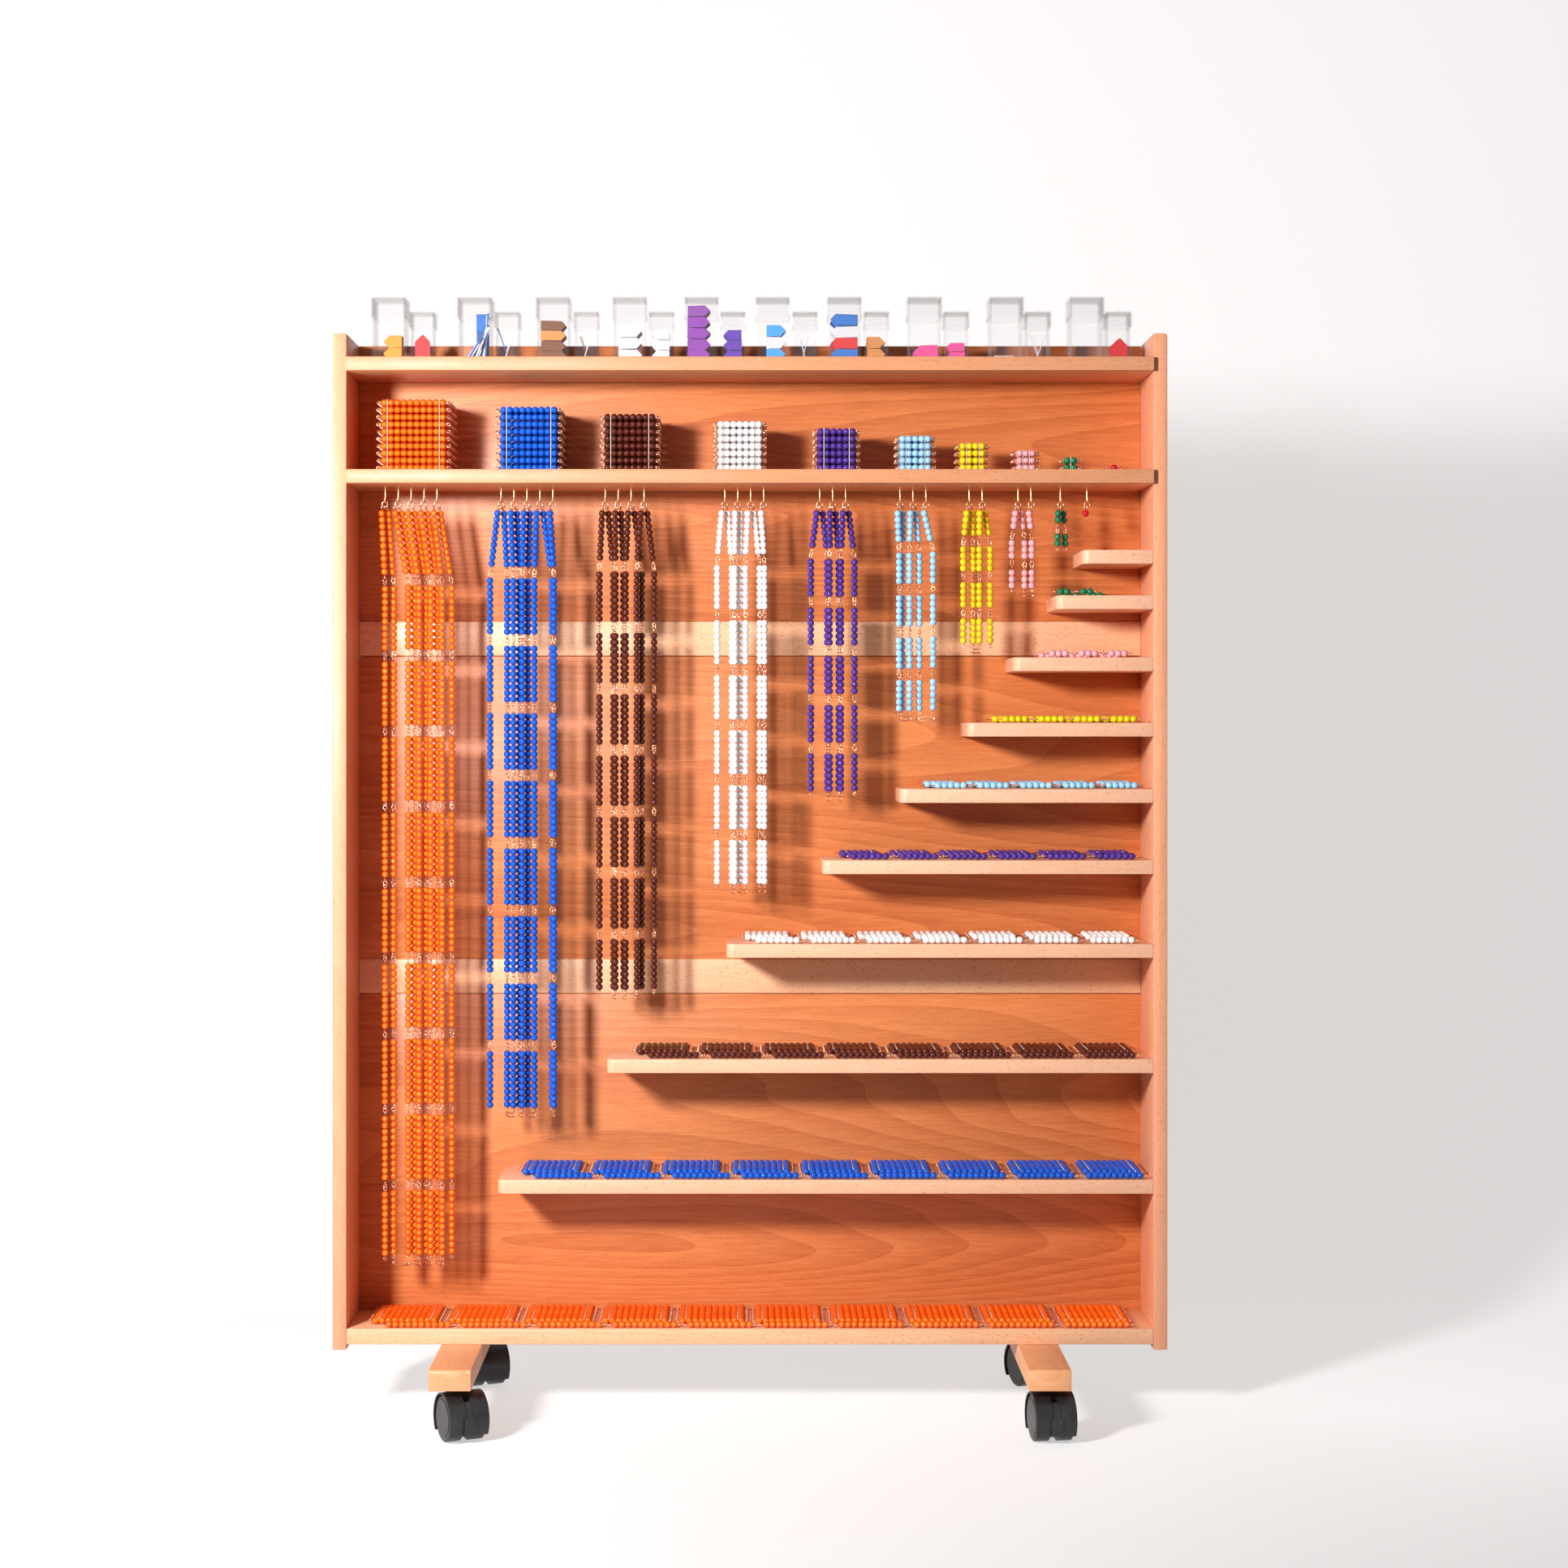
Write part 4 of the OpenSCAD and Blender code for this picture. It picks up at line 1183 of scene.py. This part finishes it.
# in metres; the glow grows from floorGlow near the eye to wallGlow at the back
studio = {
    "floorSize": 9.0,
    "floorZ": -0.0005,
    "wallY": 1.1,
    "wallHeight": 4.0,
    "bend": 0.6,
    "bendSegments": 16,
    "sweepColour": (0.5, 0.49, 0.49, 1),
    "sweepRough": 0.9,
    "glowColour": (1.0, 0.98, 0.97, 1),
    "roomColour": (1, 0.99, 0.98, 1),
    "glowFrom": -0.7,
    "glowTo": 0.0,
    "floorGlow": 0.34,
    "wallGlow": 0.6,
    "keyPower": 90.0,
    "keySize": 0.34,
    "keyFrom": (-1.25, -1.95, 1.3),
    "keyTo": (0, 0, 0.65),
    "softLight": 0.16,
    "glossyRoom": 0.6,
}


def seenRays(tree, glossy):
    # 1 for what the camera or glass sees, and the given share for reflections
    path = tree.nodes.new("ShaderNodeLightPath")
    seen = addMath(tree, "MAXIMUM", path.outputs["Is Camera Ray"], path.outputs["Is Transmission Ray"])
    return addMath(tree, "MAXIMUM", seen, addMath(tree, "MULTIPLY", path.outputs["Is Glossy Ray"], glossy))


def makeSweepPaper():
    # it looks white without lighting the cabinet, and isn't seen from behind
    material, tree, shader, coords = newMaterial("paperSweep")
    shader.inputs["Base Color"].default_value = studio["sweepColour"]
    shader.inputs["Roughness"].default_value = studio["sweepRough"]
    shader.inputs["Emission Color"].default_value = studio["glowColour"]
    split = tree.nodes.new("ShaderNodeSeparateXYZ")
    tree.links.new(coords, split.inputs["Vector"])
    glow = addRange(tree, split.outputs["Y"], (studio["glowFrom"], studio["glowTo"]),
                    (studio["floorGlow"], studio["wallGlow"]))
    tree.links.new(addMath(tree, "MULTIPLY", glow, seenRays(tree, 1.0)), shader.inputs["Emission Strength"])
    side = tree.nodes.new("ShaderNodeNewGeometry")
    tree.links.new(addMath(tree, "SUBTRACT", 1.0, side.outputs["Backfacing"]), shader.inputs["Alpha"])
    return material


def makeBackdrop():
    deselectAll()
    size, wallY, floorZ = studio["floorSize"], studio["wallY"], studio["floorZ"]
    bpy.ops.mesh.primitive_plane_add(size=size, location=(0, wallY - size / 2, floorZ))
    floor = bpy.context.object
    floor.name = "backdrop"
    applyPlace(floor)
    selectInEdit(floor, "EDGE", lambda a, b: bothAt(a, b, 1, wallY))
    bpy.ops.mesh.extrude_region_move(TRANSFORM_OT_translate={"value": (0, 0, studio["wallHeight"])})
    roundEdges(floor, lambda a, b: bothAt(a, b, 1, wallY) and bothAt(a, b, 2, floorZ),
               studio["bend"], studio["bendSegments"])
    bpy.ops.object.mode_set(mode="EDIT")
    bpy.ops.mesh.select_all(action="SELECT")
    bpy.ops.mesh.normals_make_consistent(inside=False)
    bpy.ops.object.mode_set(mode="OBJECT")
    if floor.data.polygons[0].normal.z < 0:
        floor.data.flip_normals()
    bpy.ops.object.shade_smooth()
    floor.data.materials.append(makeSweepPaper())


def addKeyLight():
    lamp = bpy.data.lights.new("key", "AREA")
    lamp.energy = studio["keyPower"]
    lamp.shape = "DISK"
    lamp.size = studio["keySize"]
    key = bpy.data.objects.new("key", lamp)
    bpy.context.collection.objects.link(key)
    key.location = studio["keyFrom"]
    aim = Vector(studio["keyTo"]) - Vector(studio["keyFrom"])
    key.rotation_euler = aim.to_track_quat("-Z", "Y").to_euler()


def makeRoom():
    # white where it is seen, and soft as a light
    world = bpy.data.worlds.new("softRoom")
    bpy.context.scene.world = world
    world.use_nodes = True
    room = world.node_tree
    background = room.nodes["Background"]
    background.inputs["Color"].default_value = studio["roomColour"]
    strength = addMath(room, "MAXIMUM", seenRays(room, studio["glossyRoom"]), studio["softLight"])
    room.links.new(strength, background.inputs["Strength"])


# the photograph's camera, level and straight in front; shifts are in the photograph's pixels
view = {
    "photoSize": 1932,
    "sensor": 36.0,
    "lens": 66.19,
    "shiftX": 42,
    "shiftY": -62,
    "distance": 3.3,
    "height": 0.7825,
}


def addCamera():
    camera = bpy.data.cameras.new("camera")
    camera.sensor_width = view["sensor"]
    camera.lens = view["lens"]
    camera.shift_x = view["shiftX"] / view["photoSize"]
    camera.shift_y = view["shiftY"] / view["photoSize"]
    cameraObject = bpy.data.objects.new("camera", camera)
    bpy.context.collection.objects.link(cameraObject)
    cameraObject.location = (0, cabinet["frontY"] * mm - view["distance"], view["height"])
    cameraObject.rotation_euler = (math.radians(90), 0, 0)
    bpy.context.scene.camera = cameraObject


makeBackdrop()
addKeyLight()
makeRoom()
addCamera()
bpy.context.scene.view_settings.view_transform = "Standard"
print("studio ready")
